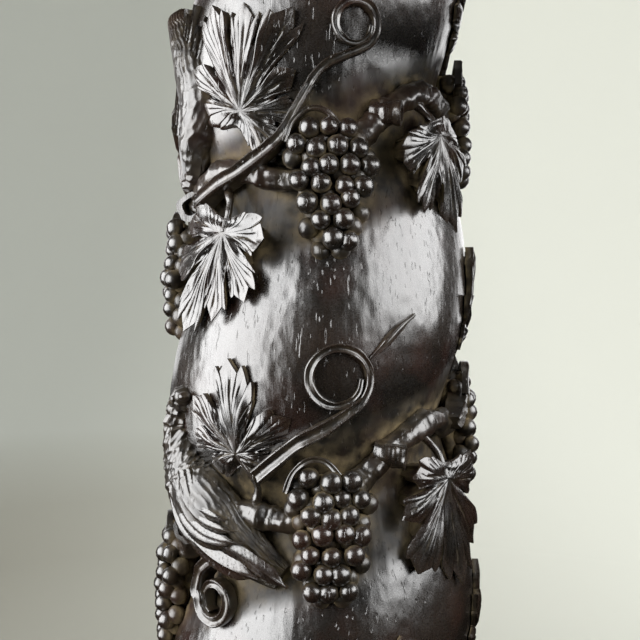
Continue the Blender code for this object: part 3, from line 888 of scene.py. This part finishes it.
@dataclass
class Grapes:
    """The bunches of grapes, each a dome of overlapping round grapes."""

    grape: float = 13.0 * MM
    spacing: float = 12.3 * MM
    bunch_length: float = 80 * MM
    bunch_width: float = 58 * MM
    first: float = 4.0
    step: float = 90.0
    top_offset: float = 24 * MM
    proud: float = 2.5 * MM
    rise: float = 5.5 * MM
    segments: int = 12
    bands: tuple[float, ...] = (14.0, 36.0, 58.0, 80.0, 104.0, 132.0)

    def half_width(self, share: Array) -> Array:
        """Half width of a bunch, from its shoulders at share 0 to its tip at share 1."""
        rounded = np.sqrt(np.clip(1.0 - share ** 2.2, 0.0, 1.0))
        return self.bunch_width / 2 * rounded * (1.0 - 0.25 * (1.0 - share) ** 6)

    def centres(self, place: float, top: float, number: int) -> tuple[Array, Array]:
        """Grape centres of one bunch: a jittered close-packed layer over the dome and a second one behind it.

        Args:
            place: place along the vine.
            top: height of the bunch's top.
            number: the bunch's number, for its own random draws.

        Returns:
            Centres (grapes, 3) and the share of each grape's depth under the dome.
        """
        rng = np.random.default_rng(400 + number)
        row_height = self.spacing * math.sqrt(3) / 2
        rows = int(self.bunch_length / row_height) + 2
        across, down, layer = [], [], []
        for depth in (0, 1):
            row = np.repeat(np.arange(rows), 9)
            column = np.tile(np.arange(-4, 5), rows)
            x = (column + 0.5 * ((row + depth) % 2)) * self.spacing
            y = (row + 0.45 + 0.5 * depth) * row_height
            across.append(x + rng.uniform(-1.9, 1.9, x.shape) * MM)
            down.append(y + rng.uniform(-1.9, 1.9, x.shape) * MM)
            layer.append(np.full(x.shape, float(depth)))
        across, down, layer = np.concatenate(across), np.concatenate(down), np.concatenate(layer)
        inside = np.abs(across) < self.half_width(np.clip(down / self.bunch_length, 0, 1)) - 2.0 * MM
        inside &= (down < self.bunch_length - 3 * MM) & (down > 2 * MM)
        across, down, layer = across[inside], down[inside], layer[inside]
        angle, z = SHAFT.spread(place, top, across, -down)
        reach = np.hypot(2 * across / self.bunch_width, 2 * down / self.bunch_length - 1.0)
        dome = SHAFT.ridge_radius(z) + self.proud * (1.0 - 1.5 * reach ** 2) + self.rise
        dome = np.maximum(dome, SHAFT.radius(angle, z) + 0.75 * self.grape)
        radius = dome - self.grape / 2 - 6.5 * MM * layer + rng.uniform(-1.5, 0.6, across.shape) * MM
        return SHAFT.point(angle, z, radius), layer

    def build(self, finish: bpy.types.Material) -> None:
        """Makes every grape: a ball with its pole outwards, a little uneven, with one flatter side."""
        polar = np.radians(np.array(self.bands))[None, :, None]
        turn = circle(self.segments)[None]
        skin = Skin()
        for number, place, top in SHAFT.places(self.first, self.step, self.top_offset, self.bunch_length):
            centres, layer = self.centres(place, top, number)
            rng = np.random.default_rng(700 + number)
            out = unit(centres * np.array([1.0, 1.0, 0.0]))
            out = unit(out + rng.normal(0.0, 0.12, out.shape))
            side = unit(np.cross(out, np.array([0.0, 0.0, 1.0])))
            up = np.cross(side, out)
            size = self.grape / 2 * rng.uniform(0.90, 1.07, len(centres))[:, None, None]
            flat = rng.uniform(0, 2 * np.pi, len(centres))[:, None, None]
            body = size * (1.0 - 0.05 * np.cos(turn - flat) * np.sin(polar) - 0.02 * np.cos(3 * turn + flat))
            round_pole = np.sin(polar)
            parts = (np.cos(polar) * body, round_pole * np.cos(turn) * body, round_pole * np.sin(turn) * body)
            rings = centres[:, None, None] + sum(
                part[..., None] * axis[:, None, None] for part, axis in zip(parts, (out, side, up))
            )
            dust = 0.9 * ramp(polar, 0.7, 1.7) + 0.4 * layer[:, None, None] + 0 * turn
            wear = 0.7 * (1 - ramp(polar, 0.2, 1.0)) * (1 - layer[:, None, None]) + 0 * turn
            skin.add(rings, np.clip(dust, 0, 1), wear)
            skin.add(self.core(place, top), 1.0, 0.0)
        skin.to_object("grapes", finish, 180.0)

    def core(self, place: float, top: float) -> Array:
        """The wood left behind a bunch: an oval section from the shaft up to the hidden layer of grapes."""
        share = np.linspace(0.04, 0.92, 16)[:, None]
        turn = circle(20)
        z = top - share * self.bunch_length
        low = SHAFT.radius(place, z) - 4 * MM
        high = SHAFT.ridge_radius(z) + self.rise - 0.85 * self.grape
        across = 0.8 * self.half_width(share) * np.cos(turn)
        radius = 0.5 * (low + high) + 0.5 * (high - low) * np.sin(turn)
        return SHAFT.point(place + np.degrees(across / SHAFT.ridge_radius(z)), z + 0.0 * turn, radius)


# Tendrils


@dataclass
class Tendrils:
    """The flat tendrils that climb the ridge and curl into rings, with a groove along their middle."""

    width: float = 6.0 * MM
    height: float = 4.4 * MM
    root_width: float = 9.5 * MM
    bridge: float = 7 * MM
    first: float = 13.0
    step: float = 122.2
    offset: float = 76.5 * MM
    radii: tuple[float, ...] = (14.5 * MM, 17.0 * MM, 20.5 * MM, 16.0 * MM, 19.0 * MM)
    long_stem: Knots = ((-112, -101), (-92, -92), (-70, -83), (-46, -66), (-34, -46), (-20, -26))
    short_stem: Knots = ((-50, -58), (-38, -48), (-24, -37), (-8, -29))
    blade: Knots = ((17, 9), (27, 19), (38, 30), (50, 38))
    perch_stem: Knots = ((8, 31), (-2, 25), (-12, 17), (-16, 4))
    perch_ring: float = 13 * MM
    perch_shift: float = 5.0
    perch_drop: float = 30 * MM
    perch_start: float = 175.0
    loop: Knots = ((-27, -12), (-22, 0), (-13, 7), (-3, 6), (5, -2))
    start: float = -70.0
    turn: float = 430.0
    closing: float = 0.30
    step_along: float = 1.1 * MM
    nick: float = 0.20
    nick_size: float = 9 * MM
    loop_scale: float = 0.62
    loop_bridge: float = 1.5 * MM
    half_band: Knots = (
        (0.0, 0.66), (0.3, 0.72), (0.55, 0.92), (0.74, 1.0), (0.90, 0.93), (1.0, 0.75), (1.0, 0.1), (1.0, -1.0),
    )

    def path(self, ring: float, stem: Knots, start: float) -> Array:
        """Flat path of a tendril: by a smooth curve into a ring that closes as it turns.

        Args:
            ring: the ring's radius.
            stem: points on the way to it, in millimetres across and up from its centre.
            start: where on the ring it arrives, in degrees.

        Returns:
            Even points across and up from the ring's centre.
        """
        turn = np.radians(start + np.linspace(0.0, self.turn, 16))
        reach = ring * (1.0 - self.closing * np.linspace(0.0, 1.0, 16))
        curl = np.stack([reach * np.cos(turn), reach * np.sin(turn)], axis=-1)
        return blend_path(np.concatenate([np.array(stem) * MM, curl]), self.step_along)

    def add(self, skin: Skin, place: float, height: float, flat: Array, scale: Array, lift: float) -> None:
        """Lays a band with two raised edges and a groove between, on sides that run down into the wood.

        Args:
            skin: the surface that takes it.
            place: turn angle of the flat path's origin.
            height: its height.
            flat: the path across and up.
            scale: width and height of the band along the path, as a share.
            lift: how far below the ridge it may sink where it crosses the hollow.
        """
        angle, z = SHAFT.spread(place, height, flat[:, 0], flat[:, 1])
        wood = np.maximum(SHAFT.radius(angle, z) + 0.3 * MM, SHAFT.ridge_radius(z) - lift)
        centres = SHAFT.point(angle, z, wood)
        side, out = path_frame(centres)
        half = np.array(self.half_band)
        outline = np.concatenate([half[:0:-1] * np.array([-1.0, 1.0]), half])
        scale = scale - self.nick * np.abs(noise(flat + place, self.nick_size, 800))
        profile = outline * np.array([self.width / 2, self.height]) * scale[:, None, None]
        wear = ramp(outline[:, 1], 0.8, 1.0)
        skin.add(tube(centres, side, out, profile), 0.22 * (1 - wear) + 0.04, wear)

    def build(self, finish: bpy.types.Material) -> None:
        """Makes every tendril: large ones on the ridge, small ones by the birds and loops at the bunches."""
        skin = Skin()
        drop = -min(up for _, up in self.short_stem) * MM
        for number, place, centre in SHAFT.places(self.first, self.step, self.offset, drop, max(self.radii)):
            roomy = centre + min(up for _, up in self.long_stem) * MM > SHAFT.end_height + SHAFT.end_gap
            long = number % 2 == 0 and roomy
            stem = self.long_stem if long else self.short_stem
            flat = self.path(self.radii[number % len(self.radii)], stem, self.start)
            share = np.linspace(0.0, 1.0, len(flat))
            root = 1.0 - ramp(share, 0.22, 0.42)
            scale = (1.0 + (self.root_width / self.width - 1.0) * root) * (1.0 - 0.45 * ramp(share, 0.8, 1.0))
            self.add(skin, place, centre, flat, scale, self.bridge)
            if not long:
                flat = blend_path(np.array(self.blade) * MM, self.step_along)
                scale = 0.2 + 0.65 * np.sin(np.pi * np.linspace(0.05, 0.97, len(flat))) ** 0.8
                self.add(skin, place, centre, flat, scale, self.bridge)
        for place in Foliage.perches:
            flat = self.path(self.perch_ring, self.perch_stem, self.perch_start)
            scale = 1.45 - 0.5 * ramp(np.linspace(0.0, 1.0, len(flat)), 0.25, 0.8)
            centre = float(SHAFT.hollow_height(place)) - self.perch_drop
            self.add(skin, place + self.perch_shift, centre, flat, scale, self.bridge)
        flat = blend_path(np.array(self.loop) * MM, self.step_along)
        for _, place, top in SHAFT.places(Grapes.first, Grapes.step, Grapes.top_offset, Grapes.bunch_length):
            self.add(skin, place, top, flat, np.full(len(flat), self.loop_scale), self.loop_bridge)
        skin.to_object("tendrils", finish, 38.0)


# Birds


@dataclass(frozen=True)
class Plume:
    """One long feather: root and tip across and along as shares of the bird's length, sideways bow likewise.

    lift is the height of its face over the body's mean surface and width its full width, in millimetres.
    """

    root: tuple[float, float]
    tip: tuple[float, float]
    bow: float
    lift: float
    width: float


FOLDED_WING = (
    Plume((-0.05, 0.12), (0.17, -0.06), -0.060, 0.0, 6.0),
    Plume((-0.09, 0.11), (0.21, -0.10), -0.075, 0.7, 6.5),
    Plume((-0.13, 0.09), (0.25, -0.14), -0.085, 1.4, 7.0),
    Plume((-0.10, -0.08), (0.31, -0.27), -0.030, -0.8, 12.0),
    Plume((-0.17, 0.07), (0.04, -0.18), -0.050, 0.6, 9.0),
    Plume((-0.07, -0.07), (0.19, -0.15), -0.030, 1.6, 9.0),
    Plume((0.05, -0.12), (0.42, -0.30), 0.020, -1.5, 10.0),
)
LONG_BACK = (
    Plume((-0.13, 0.20), (-0.12, -0.30), 0.03, -4.6, 3.4),
    Plume((-0.07, 0.14), (-0.06, -0.26), 0.02, -3.6, 3.0),
    Plume((-0.01, 0.20), (0.00, -0.34), 0.02, -3.2, 3.2),
    Plume((0.05, 0.16), (0.06, -0.30), -0.02, -3.2, 3.0),
    Plume((0.10, 0.10), (0.12, -0.32), -0.03, -3.8, 3.2),
    Plume((0.15, 0.16), (0.17, -0.24), -0.03, -4.6, 3.4),
)


@dataclass
class Bird:
    """A bird in the vine: a swept body with scaled neck feathers and long layered wing and tail feathers."""

    place: float
    offset: float
    heading: float
    seed: int
    plumes: tuple[Plume, ...]
    slim: float = 1.0
    length: float = 150 * MM
    proud: float = 8 * MM
    sides: int = 96
    rows: int = 150
    outermost: float = 0.1108
    scale_depth: float = 3.6 * MM
    hair_depth: float = 0.9 * MM
    fold_depth: float = 1.5 * MM
    barb_depth: float = 0.85 * MM
    bead: float = 2.2 * MM
    stations: Knots = (
        (-0.067, 0.413, 0.010, 0.020, 0.027),
        (-0.105, 0.412, 0.030, 0.034, 0.030),
        (-0.153, 0.400, 0.057, 0.060, 0.033),
        (-0.200, 0.335, 0.056, 0.058, 0.033),
        (-0.213, 0.253, 0.067, 0.067, 0.033),
        (-0.153, 0.067, 0.140, 0.100, 0.040),
        (0.013, -0.080, 0.160, 0.107, 0.060),
        (0.207, -0.200, 0.100, 0.073, 0.053),
        (0.373, -0.287, 0.057, 0.040, 0.020),
    )

    def to_shaft(self, side: Array, along: Array) -> tuple[Array, Array]:
        """Turn angles and heights of the bird's flat lengths, turned to its heading."""
        middle = float(SHAFT.hollow_height(self.place)) + self.offset
        turn = math.radians(self.heading)
        side = side * self.slim
        rise = side * math.sin(turn) + along * math.cos(turn)
        across = side * math.cos(turn) - along * math.sin(turn)
        return SHAFT.spread(self.place, middle, across, rise)

    def body(self) -> Patch:
        """The body: an oval carried along the stations, with scales on the neck and fine cuts down the back.

        Returns:
            Rings of points, and the shares of dust and of wear.
        """
        knots = np.array(self.stations) * self.length
        fine = blend_path(knots, self.length / self.rows)
        side, along, half_width, half_depth, lift = fine.T
        half_width = half_width * self.slim
        angle, z = self.to_shaft(side, along)
        centres = SHAFT.point(angle, z, self.middle(angle, z, half_depth, lift))
        sideways, out = path_frame(centres)
        turn = circle(self.sides)
        share = np.linspace(0.0, 1.0, len(fine))[:, None]
        far = share * self.length * 1.2
        girth = turn * np.maximum(half_width[:, None], 4 * MM)
        scales = scoops(girth, far, 4.4 * MM, 7.0 * MM, self.seed)
        neck = ramp(share, 0.02, 0.12) * (1 - ramp(share, 0.42, 0.55))
        ruffle = noise(np.stack(np.broadcast_arrays(far, girth), axis=-1), 6 * MM, self.seed)
        hair = groove(turn / (2 * np.pi) * 26 + 0.8 * np.sin(9 * share) + 0.35 * ruffle, 0.8)
        back = ramp(share, 0.45, 0.6)
        folds = groove(share * 30, 0.6) * (1 - ramp(share, 0.15, 0.2))
        relief = self.scale_depth * self.slim ** 2 * neck * (scales - 0.2)
        relief = relief - self.hair_depth * back * hair - self.fold_depth * folds
        profile = np.stack([
            (np.maximum(half_width, 1 * MM)[:, None] + relief) * np.cos(turn),
            (np.maximum(half_depth, 1 * MM)[:, None] + relief) * np.sin(turn),
        ], axis=-1)
        dust = 0.3 + 0.25 * back * hair + 0.0 * turn
        wear = np.clip(np.sin(turn), 0, 1) * (0.6 - 0.5 * back * hair) * (0.5 + neck * scales)
        return tube(centres, sideways, out, profile), dust, np.clip(wear, 0, 1)

    def middle(self, angle: Array, z: Array, half_depth: Array | float, lift: Array | float) -> Array:
        """Radius of the body's middle: lifted off the wood, but never so far that its back stands too proud."""
        return np.minimum(SHAFT.radius(angle, z) + lift, SHAFT.ridge_radius(z) + self.proud - half_depth)

    def feather(self, plume: Plume) -> Patch:
        """One long feather: a thin blade from root to tip, bowed sideways, with a quill and slanted barbs.

        Args:
            plume: its place and size.

        Returns:
            Rings of points, and the shares of dust and of wear.
        """
        start, end = np.array(plume.root) * self.length, np.array(plume.tip) * self.length
        normal = unit(np.array([-(end - start)[1], (end - start)[0]]))
        share = np.linspace(0.0, 1.0, 40)[:, None]
        path = start + (end - start) * share + normal * plume.bow * self.length * np.sin(np.pi * share)
        angle, z = self.to_shaft(path[:, 0], path[:, 1])
        radius = np.minimum(SHAFT.ridge_radius(z) + self.proud - 3 * MM + plume.lift * MM, self.outermost)
        centres = SHAFT.point(angle, z, radius)
        side, out = path_frame(centres)
        taper = np.sqrt(np.clip(1 - (2 * share - 0.9) ** 4 / 1.9, 0.05, 1)) * (1 - ramp(share, 0.8, 1.02) * 0.9)
        across = np.concatenate([np.linspace(-1, 1, 15), np.linspace(1, -1, 7)[1:-1]])[None, :]
        upper = np.concatenate([np.ones(15), np.zeros(5)])[None, :]
        aside = np.abs(across)
        barb = groove(share * 17 - aside * 1.5, 0.8) * upper * (aside > 0.1)
        crown = upper * (1.1 * MM * (1 - across ** 2) + 0.8 * MM * np.exp(-((across / 0.13) ** 2)))
        height = crown - self.barb_depth * barb * ramp(aside, 0.1, 0.5)
        height = height - (1 - upper) * 4.5 * MM * (1 - across ** 2)
        profile = np.stack([plume.width * MM / 2 * taper * across, height], axis=-1)
        dust = 0.45 * barb + 0.5 * (1 - upper) + 0 * share
        wear = upper * np.clip(ramp(aside, 0.7, 1.0) + np.exp(-((across / 0.15) ** 2)), 0, 1) * (1 - barb)
        return tube(centres, side, out, profile), dust, wear

    def eye(self) -> Array:
        """The eye: a bead sunk in the head, which is the body's third station."""
        side, along, _, half_depth, lift = np.array(self.stations[2]) * self.length
        angle, z = self.to_shaft(np.array([side]), np.array([along]))
        middle = self.middle(angle, z, half_depth, lift)
        centre = SHAFT.point(angle, z, middle + 0.82 * half_depth)[0]
        polar = np.radians(np.linspace(10, 170, 8))[:, None]
        turn = circle(14)
        ball = (np.sin(polar) * np.cos(turn), np.sin(polar) * np.sin(turn), np.cos(polar) + 0 * turn)
        return centre + self.bead * np.stack(ball, axis=-1)

    def add_to(self, skin: Skin) -> None:
        """Adds the whole bird to a skin."""
        skin.add(*self.body())
        for plume in self.plumes:
            skin.add(*self.feather(plume))
        skin.add(self.eye(), 0.1, 0.8)


@dataclass
class Birds:
    """The birds that perch head up and the birds that hang head down and peck at the grapes."""

    perched: tuple[float, ...] = Foliage.perches
    perched_offset: float = 31 * MM
    pecking: tuple[float, ...] = (-61.0, -240.0)
    pecking_offset: float = 92 * MM
    pecking_turn: float = 162.0

    def build(self, finish: bpy.types.Material) -> None:
        """Makes all the birds as one piece."""
        skin = Skin()
        for number, place in enumerate(self.perched):
            Bird(place, self.perched_offset, 0.0, 900 + number, FOLDED_WING).add_to(skin)
        for number, place in enumerate(self.pecking):
            Bird(place, self.pecking_offset, self.pecking_turn, 910 + number, LONG_BACK, 0.72).add_to(skin)
        skin.to_object("birds", finish, 50.0)


# Finishes


def linear(hex_code: str) -> tuple[float, float, float, float]:
    """An sRGB hex colour as linear values, each channel by the sRGB curve."""
    channels = [int(hex_code[i : i + 2], 16) / 255 for i in (1, 3, 5)]
    red, green, blue = (c / 12.92 if c <= 0.04045 else ((c + 0.055) / 1.055) ** 2.4 for c in channels)
    return red, green, blue, 1.0


class Graph:
    """A new material and its shader nodes, with one method for each kind of sum that the finishes need."""

    def __init__(self, name: str) -> None:
        """Starts the material, and finds its shader and the place in space that patterns are read at."""
        self.material = bpy.data.materials.new(name)
        self.material.use_nodes = True
        self.tree = self.material.node_tree
        self.shader = self.tree.nodes["Principled BSDF"]
        self.spot = self.add("ShaderNodeTexCoord").outputs["Object"]

    def add(self, kind: str, settings: dict | None = None, **inputs: object) -> bpy.types.Node:
        """Adds a node.

        Args:
            kind: the node's type.
            settings: attributes of the node.
            **inputs: what each input takes, with _ for a space in its name and in_ before a number.

        Returns:
            The new node.
        """
        node = self.tree.nodes.new(kind)
        for key, value in (settings or {}).items():
            setattr(node, key, value)
        self.fill(node, **inputs)
        return node

    def fill(self, node: bpy.types.Node, **inputs: object) -> None:
        """Gives a node's inputs a value, a hex colour or another node's output each."""
        for key, value in inputs.items():
            socket = node.inputs[int(key[3:])] if key.startswith("in_") else node.inputs[key.replace("_", " ")]
            if isinstance(value, bpy.types.NodeSocket):
                self.tree.links.new(value, socket)
            else:
                socket.default_value = linear(value) if isinstance(value, str) else value

    def done(self, **inputs: object) -> bpy.types.Material:
        """Gives the shader its inputs and hands over the material."""
        self.fill(self.shader, **inputs)
        return self.material

    def mapped(self, value: object, low: float, high: float, first: float = 0.0, last: float = 1.0) -> object:
        """A value from low to high, read as one from first to last and held there."""
        return self.add("ShaderNodeMapRange", in_0=value, in_1=low, in_2=high, in_3=first, in_4=last).outputs[0]

    def mixed(self, share: object, first: object, second: object) -> object:
        """A colour on the way from the first to the second."""
        return self.add("ShaderNodeMix", {"data_type": "RGBA"}, in_0=share, in_6=first, in_7=second).outputs[2]

    def math(self, operation: str, *values: object, clamp: bool = False) -> object:
        """A sum of two or three values, held from 0 to 1 where it is clamped."""
        inputs = {f"in_{number}": value for number, value in enumerate(values)}
        return self.add("ShaderNodeMath", {"operation": operation, "use_clamp": clamp}, **inputs).outputs[0]

    def product(self, first: object, second: object) -> object:
        """Two values multiplied."""
        return self.math("MULTIPLY", first, second)

    def stretched(self, rotation: tuple[float, ...], share: float) -> object:
        """Places tipped by a rotation and squeezed along the timber, which draws a pattern out along it."""
        scale = (1.0, 1.0, share)
        return self.add("ShaderNodeMapping", Vector=self.spot, Rotation=rotation, Scale=scale).outputs[0]

    def cloud(self, place: object, size: float, detail: float) -> object:
        """Soft noise with blots of about a size in millimetres."""
        return self.add("ShaderNodeTexNoise", Vector=place, Scale=1 / (size * MM), Detail=detail).outputs[0]


@dataclass(frozen=True)
class WaxedHardwood:
    """Old walnut or stained oak, carved by hand, stained nearly black and waxed.

    To the eye it is black-brown with a red glow where the stain has thinned, glossy where hands and cloths
    have polished it, mottled by the tool, and grey-tan with old dust in every recess. The deepest crevices are
    painted near black as painted shade, and their reflections are dimmed there as painted shade too.
    """

    name: str = "dark_waxed_hardwood"
    stain: str = "#110c07"
    stain_deep: str = "#090705"
    undertone: str = "#22110b"
    worn: str = "#271d16"
    dust: str = "#74664c"
    # painted shade: the near-black colour laid into deep crevices
    shade: str = "#030202"
    gloss: float = 0.27
    coat: float = 0.5
    coat_roughness: float = 0.22
    blotch_mm: float = 45.0
    patch_mm: float = 9.0
    recess_mm: float = 14.0
    grain_mm: float = 0.9
    grain_height: float = 0.055
    mottle_mm: float = 1.1
    mottle_height: float = 0.02
    nick_mm: float = 2.0
    nick_depth: float = 0.24
    facet_mm: float = 5.0
    facet_depth: float = 0.23

    def build(self) -> bpy.types.Material:
        """Builds the material: stain by noise, dust by recess and marks, painted shade in crevices by occlusion,
        gloss by wear, bump by grain.
        """
        graph = Graph(self.name)
        blotch = graph.cloud(graph.spot, self.blotch_mm, 3.0)
        patchy = graph.cloud(graph.spot, self.patch_mm, 4.0)
        mottle = graph.cloud(graph.spot, self.mottle_mm, 1.0)
        streak = graph.cloud(graph.stretched((0.12, 0.0, 0.0), 0.13), self.grain_mm, 2.0)
        scratch = graph.cloud(graph.stretched((-0.1, 0.06, 0.0), 0.14), self.nick_mm, 1.0)
        carved = graph.stretched((0.15, 0.0, 0.0), 0.5)
        facet = graph.add("ShaderNodeTexVoronoi", {"feature": "SMOOTH_F1"}, Smoothness=0.25, Vector=carved,
                          Scale=1 / (self.facet_mm * MM)).outputs["Distance"]
        dust_mark = graph.add("ShaderNodeAttribute", {"attribute_name": "dust"}).outputs["Fac"]
        wear_mark = graph.add("ShaderNodeAttribute", {"attribute_name": "wear"}).outputs["Fac"]
        reach = self.recess_mm * MM
        open_air = graph.add("ShaderNodeAmbientOcclusion", {"samples": 6}, Distance=reach).outputs["AO"]
        # painted shade mask from occlusion: 0 where the wood is closed in, 1 in the open
        gap = graph.mapped(open_air, 0.08, 0.34)

        lying = graph.product(graph.mapped(patchy, 0.38, 0.66, 0.1, 1.0), dust_mark)
        dusty = graph.product(graph.product(lying, graph.mapped(open_air, 0.95, 0.45, 0.14, 1.0)), 0.9)
        colour = graph.mixed(patchy, self.stain_deep, self.stain)
        colour = graph.mixed(graph.mapped(blotch, 0.50, 0.68, 0.0, 0.75), colour, self.undertone)
        colour = graph.mixed(graph.product(wear_mark, streak), colour, self.worn)
        colour = graph.mixed(dusty, colour, self.dust)
        # painted shade: deep crevices go near black
        colour = graph.mixed(gap, self.shade, colour)

        polished = graph.mapped(dust_mark, 0.2, 0.7, 1.0, 0.22)
        raw = graph.mapped(polished, 1.0, 0.22, 0.0, 0.22)
        dull = graph.math("MULTIPLY_ADD", dusty, 0.6, raw)
        glossy = graph.mapped(mottle, 0.35, 0.7, self.gloss - 0.02, self.gloss + 0.06)

        nick = graph.mapped(scratch, 0.66, 0.73)
        relief = graph.product(streak, self.grain_height)
        relief = graph.math("MULTIPLY_ADD", mottle, self.mottle_height, relief)
        relief = graph.math("MULTIPLY_ADD", nick, -self.nick_depth, relief)
        relief = graph.math("MULTIPLY_ADD", facet, self.facet_depth, relief)
        bump = graph.add("ShaderNodeBump", Strength=1.0, Distance=MM, Height=relief).outputs[0]
        # the painted shade mask also dims the reflections in crevices, as painted shade
        return graph.done(
            Base_Color=colour, Roughness=graph.math("ADD", glossy, dull, clamp=True), Normal=bump, IOR=1.5,
            Specular_IOR_Level=graph.product(graph.product(gap, 0.8), polished),
            Coat_Weight=graph.product(polished, self.coat), Coat_Roughness=self.coat_roughness,
        )


# The studio


@dataclass(frozen=True)
class Lamp:
    """A soft rectangular light that faces the column's middle.

    azimuth is in degrees round from the front towards +X and elevation in degrees up. distance, height and
    width are in metres, and power is in watts.
    """

    name: str
    azimuth: float
    elevation: float
    distance: float
    height: float
    width: float
    power: float


@dataclass
class Studio:
    """The pale room with painted light on its wall, two tall soft lights at the sides, two weak ones behind, a
    black card and the camera.
    """

    camera_distance: float = 0.65
    camera_height: float = 0.315
    camera_across: float = 0.0007
    lens: float = 53.3
    sky: float = 1.75
    room_radius: float = 2.6
    room_height: float = 3.0
    fillet: float = 1.9
    room_columns: int = 96
    # painted light on the wall, which the lamps don't light: greyer left and darker low there as painted shade,
    # nearly white right as painted light
    paint_left: str = "#a9aba5"
    paint_low: str = "#8f8d83"
    paint_right: str = "#e4e5dd"
    card_azimuth: float = 62.0
    card_distance: float = 0.178
    card_middle: float = 0.50
    card_height: float = 0.07
    card_width: float = 0.24
    lamps: tuple[Lamp, ...] = (
        Lamp("window_left", -66.0, 8.0, 1.05, 1.3, 1.40, 53.0),
        Lamp("window_right", 66.0, 21.0, 1.05, 0.84, 1.3, 25.0),
        Lamp("fill_back_left", -155.0, 15.0, 1.2, 0.8, 0.8, 2.5),
        Lamp("fill_back_right", 150.0, 15.0, 1.2, 0.8, 0.8, 4.0),
    )

    def build(self) -> None:
        """Sets up the camera, the room, the lights and the view's tone."""
        scene = bpy.context.scene
        camera = bpy.data.cameras.new("camera")
        camera.lens = self.lens
        camera.sensor_width = 36.0
        scene.camera = put_in_scene("camera", camera)
        scene.camera.location = (self.camera_across, -self.camera_distance, self.camera_height)
        scene.camera.rotation_euler = (math.radians(90.0), 0.0, 0.0)
        scene.view_settings.view_transform = "Standard"
        wood_only = self.receivers(self.room())
        for lamp in self.lamps:
            self.light(lamp, wood_only)
        self.card()
        scene.world = bpy.data.worlds.new("dim_room")
        scene.world.use_nodes = True
        sky = scene.world.node_tree.nodes["Background"]
        sky.inputs["Color"].default_value = linear("#ffffff")
        sky.inputs["Strength"].default_value = self.sky
        scene.world.cycles_visibility.glossy = False

    def receivers(self, room: bpy.types.Object) -> bpy.types.Collection:
        """What the lamps light: everything but the room, which the sky lights evenly."""
        group = bpy.data.collections.new("lit_by_lamps")
        group.objects.link(room)
        group.collection_objects[0].light_linking.link_state = "EXCLUDE"
        return group

    def light(self, lamp: Lamp, lit: bpy.types.Collection) -> None:
        """Adds one lamp, out of the camera's sight.

        Args:
            lamp: its place, size and power.
            lit: what it lights.
        """
        data = bpy.data.lights.new(lamp.name, "AREA")
        data.shape = "RECTANGLE"
        data.size, data.size_y = lamp.width, lamp.height
        data.energy = lamp.power
        made = put_in_scene(lamp.name, data)
        aim = Vector((0.0, 0.0, self.camera_height))
        tilt = math.radians(lamp.elevation)
        level = SHAFT.point(lamp.azimuth, math.tan(tilt), 1.0) * math.cos(tilt)
        made.location = aim + lamp.distance * Vector(level)
        made.rotation_euler = (aim - made.location).to_track_quat("-Z", "Y").to_euler()
        made.visible_camera = False
        made.light_linking.receiver_collection = lit

    def card(self) -> None:
        """A black card, out of sight, that keeps the right window off the top of the column."""
        across = np.array([-0.5, 0.5, 0.5, -0.5]) * self.card_width
        up = np.array([-0.5, -0.5, 0.5, 0.5]) * self.card_height
        turn = math.radians(self.card_azimuth)
        x = self.card_distance * math.sin(turn) + across * math.cos(turn)
        y = -self.card_distance * math.cos(turn) + across * math.sin(turn)
        mesh = bpy.data.meshes.new("black_card")
        mesh.from_pydata(np.stack([x, y, self.card_middle + up], axis=-1), [], [(0, 1, 2, 3)])
        mesh.materials.append(Graph("black_card").done(Base_Color="#050505", Roughness=1.0))
        flag = put_in_scene("black_card", mesh)
        flag.visible_camera = False

    def room(self) -> bpy.types.Object:
        """A round room: a flat floor, a quarter-round fillet and a straight wall, spun round the axis."""
        turn = np.linspace(0.0, np.pi / 2, 12)
        inner = self.room_radius - self.fillet
        floor = np.stack([np.linspace(0.001, inner, 8), np.zeros(8)], axis=-1)
        bend = np.stack([inner + self.fillet * np.sin(turn), self.fillet * (1 - np.cos(turn))], axis=-1)
        wall_height = np.linspace(self.fillet + 0.1, self.room_height, 4)
        wall = np.stack([np.full(4, self.room_radius), wall_height], axis=-1)
        profile = np.concatenate([floor, bend, wall])
        angle = np.linspace(0.0, 360.0, self.room_columns, endpoint=False)
        points = SHAFT.point(angle, profile[:, 1:], profile[:, :1])
        quads = ring_quads(np.arange(points.shape[0] * self.room_columns).reshape(-1, self.room_columns))
        mesh = bpy.data.meshes.new("pale_room")
        mesh.from_pydata(points.reshape(-1, 3), [], quads[:, ::-1].tolist())
        mesh.shade_smooth()
        mesh.materials.append(self.paint())
        made = put_in_scene("pale_room", mesh)
        made.visible_glossy = False
        return made

    def paint(self) -> bpy.types.Material:
        """Matt paint graded as painted light: greyer on the left and dimmer low down there as painted shade,
        nearly white on the right as painted light.
        """
        graph = Graph("matt_wall_paint")
        axes = graph.add("ShaderNodeSeparateXYZ", Vector=graph.spot)
        share = graph.add("ShaderNodeMapRange", {"interpolation_type": "SMOOTHSTEP"}, in_0=axes.outputs[0],
                          in_1=-0.6, in_2=0.6).outputs[0]
        # painted shade on the left and low down, painted light towards the right
        left = graph.mixed(graph.mapped(axes.outputs[2], 0.10, 0.0), self.paint_left, self.paint_low)
        colour = graph.mixed(share, left, self.paint_right)
        return graph.done(Base_Color=colour, Roughness=0.95, Specular_IOR_Level=0.1)


def main() -> None:
    """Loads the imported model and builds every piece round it."""
    logging.basicConfig(level=logging.INFO, format="%(name)s %(message)s")
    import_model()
    wood = WaxedHardwood().build()
    vine, foliage = Vine(), Foliage()
    Timber().build(wood)
    TurnedEnd("turned_foot", 6.2 * MM, 12 * MM, False).build(wood)
    TurnedEnd("turned_neck", 5.0 * MM, 10 * MM, True).build(wood)
    vine.build(wood, foliage.stalks(vine))
    Grapes().build(wood)
    foliage.build(wood)
    Tendrils().build(wood)
    Birds().build(wood)
    Studio().build()


if __name__ == "__main__":
    main()
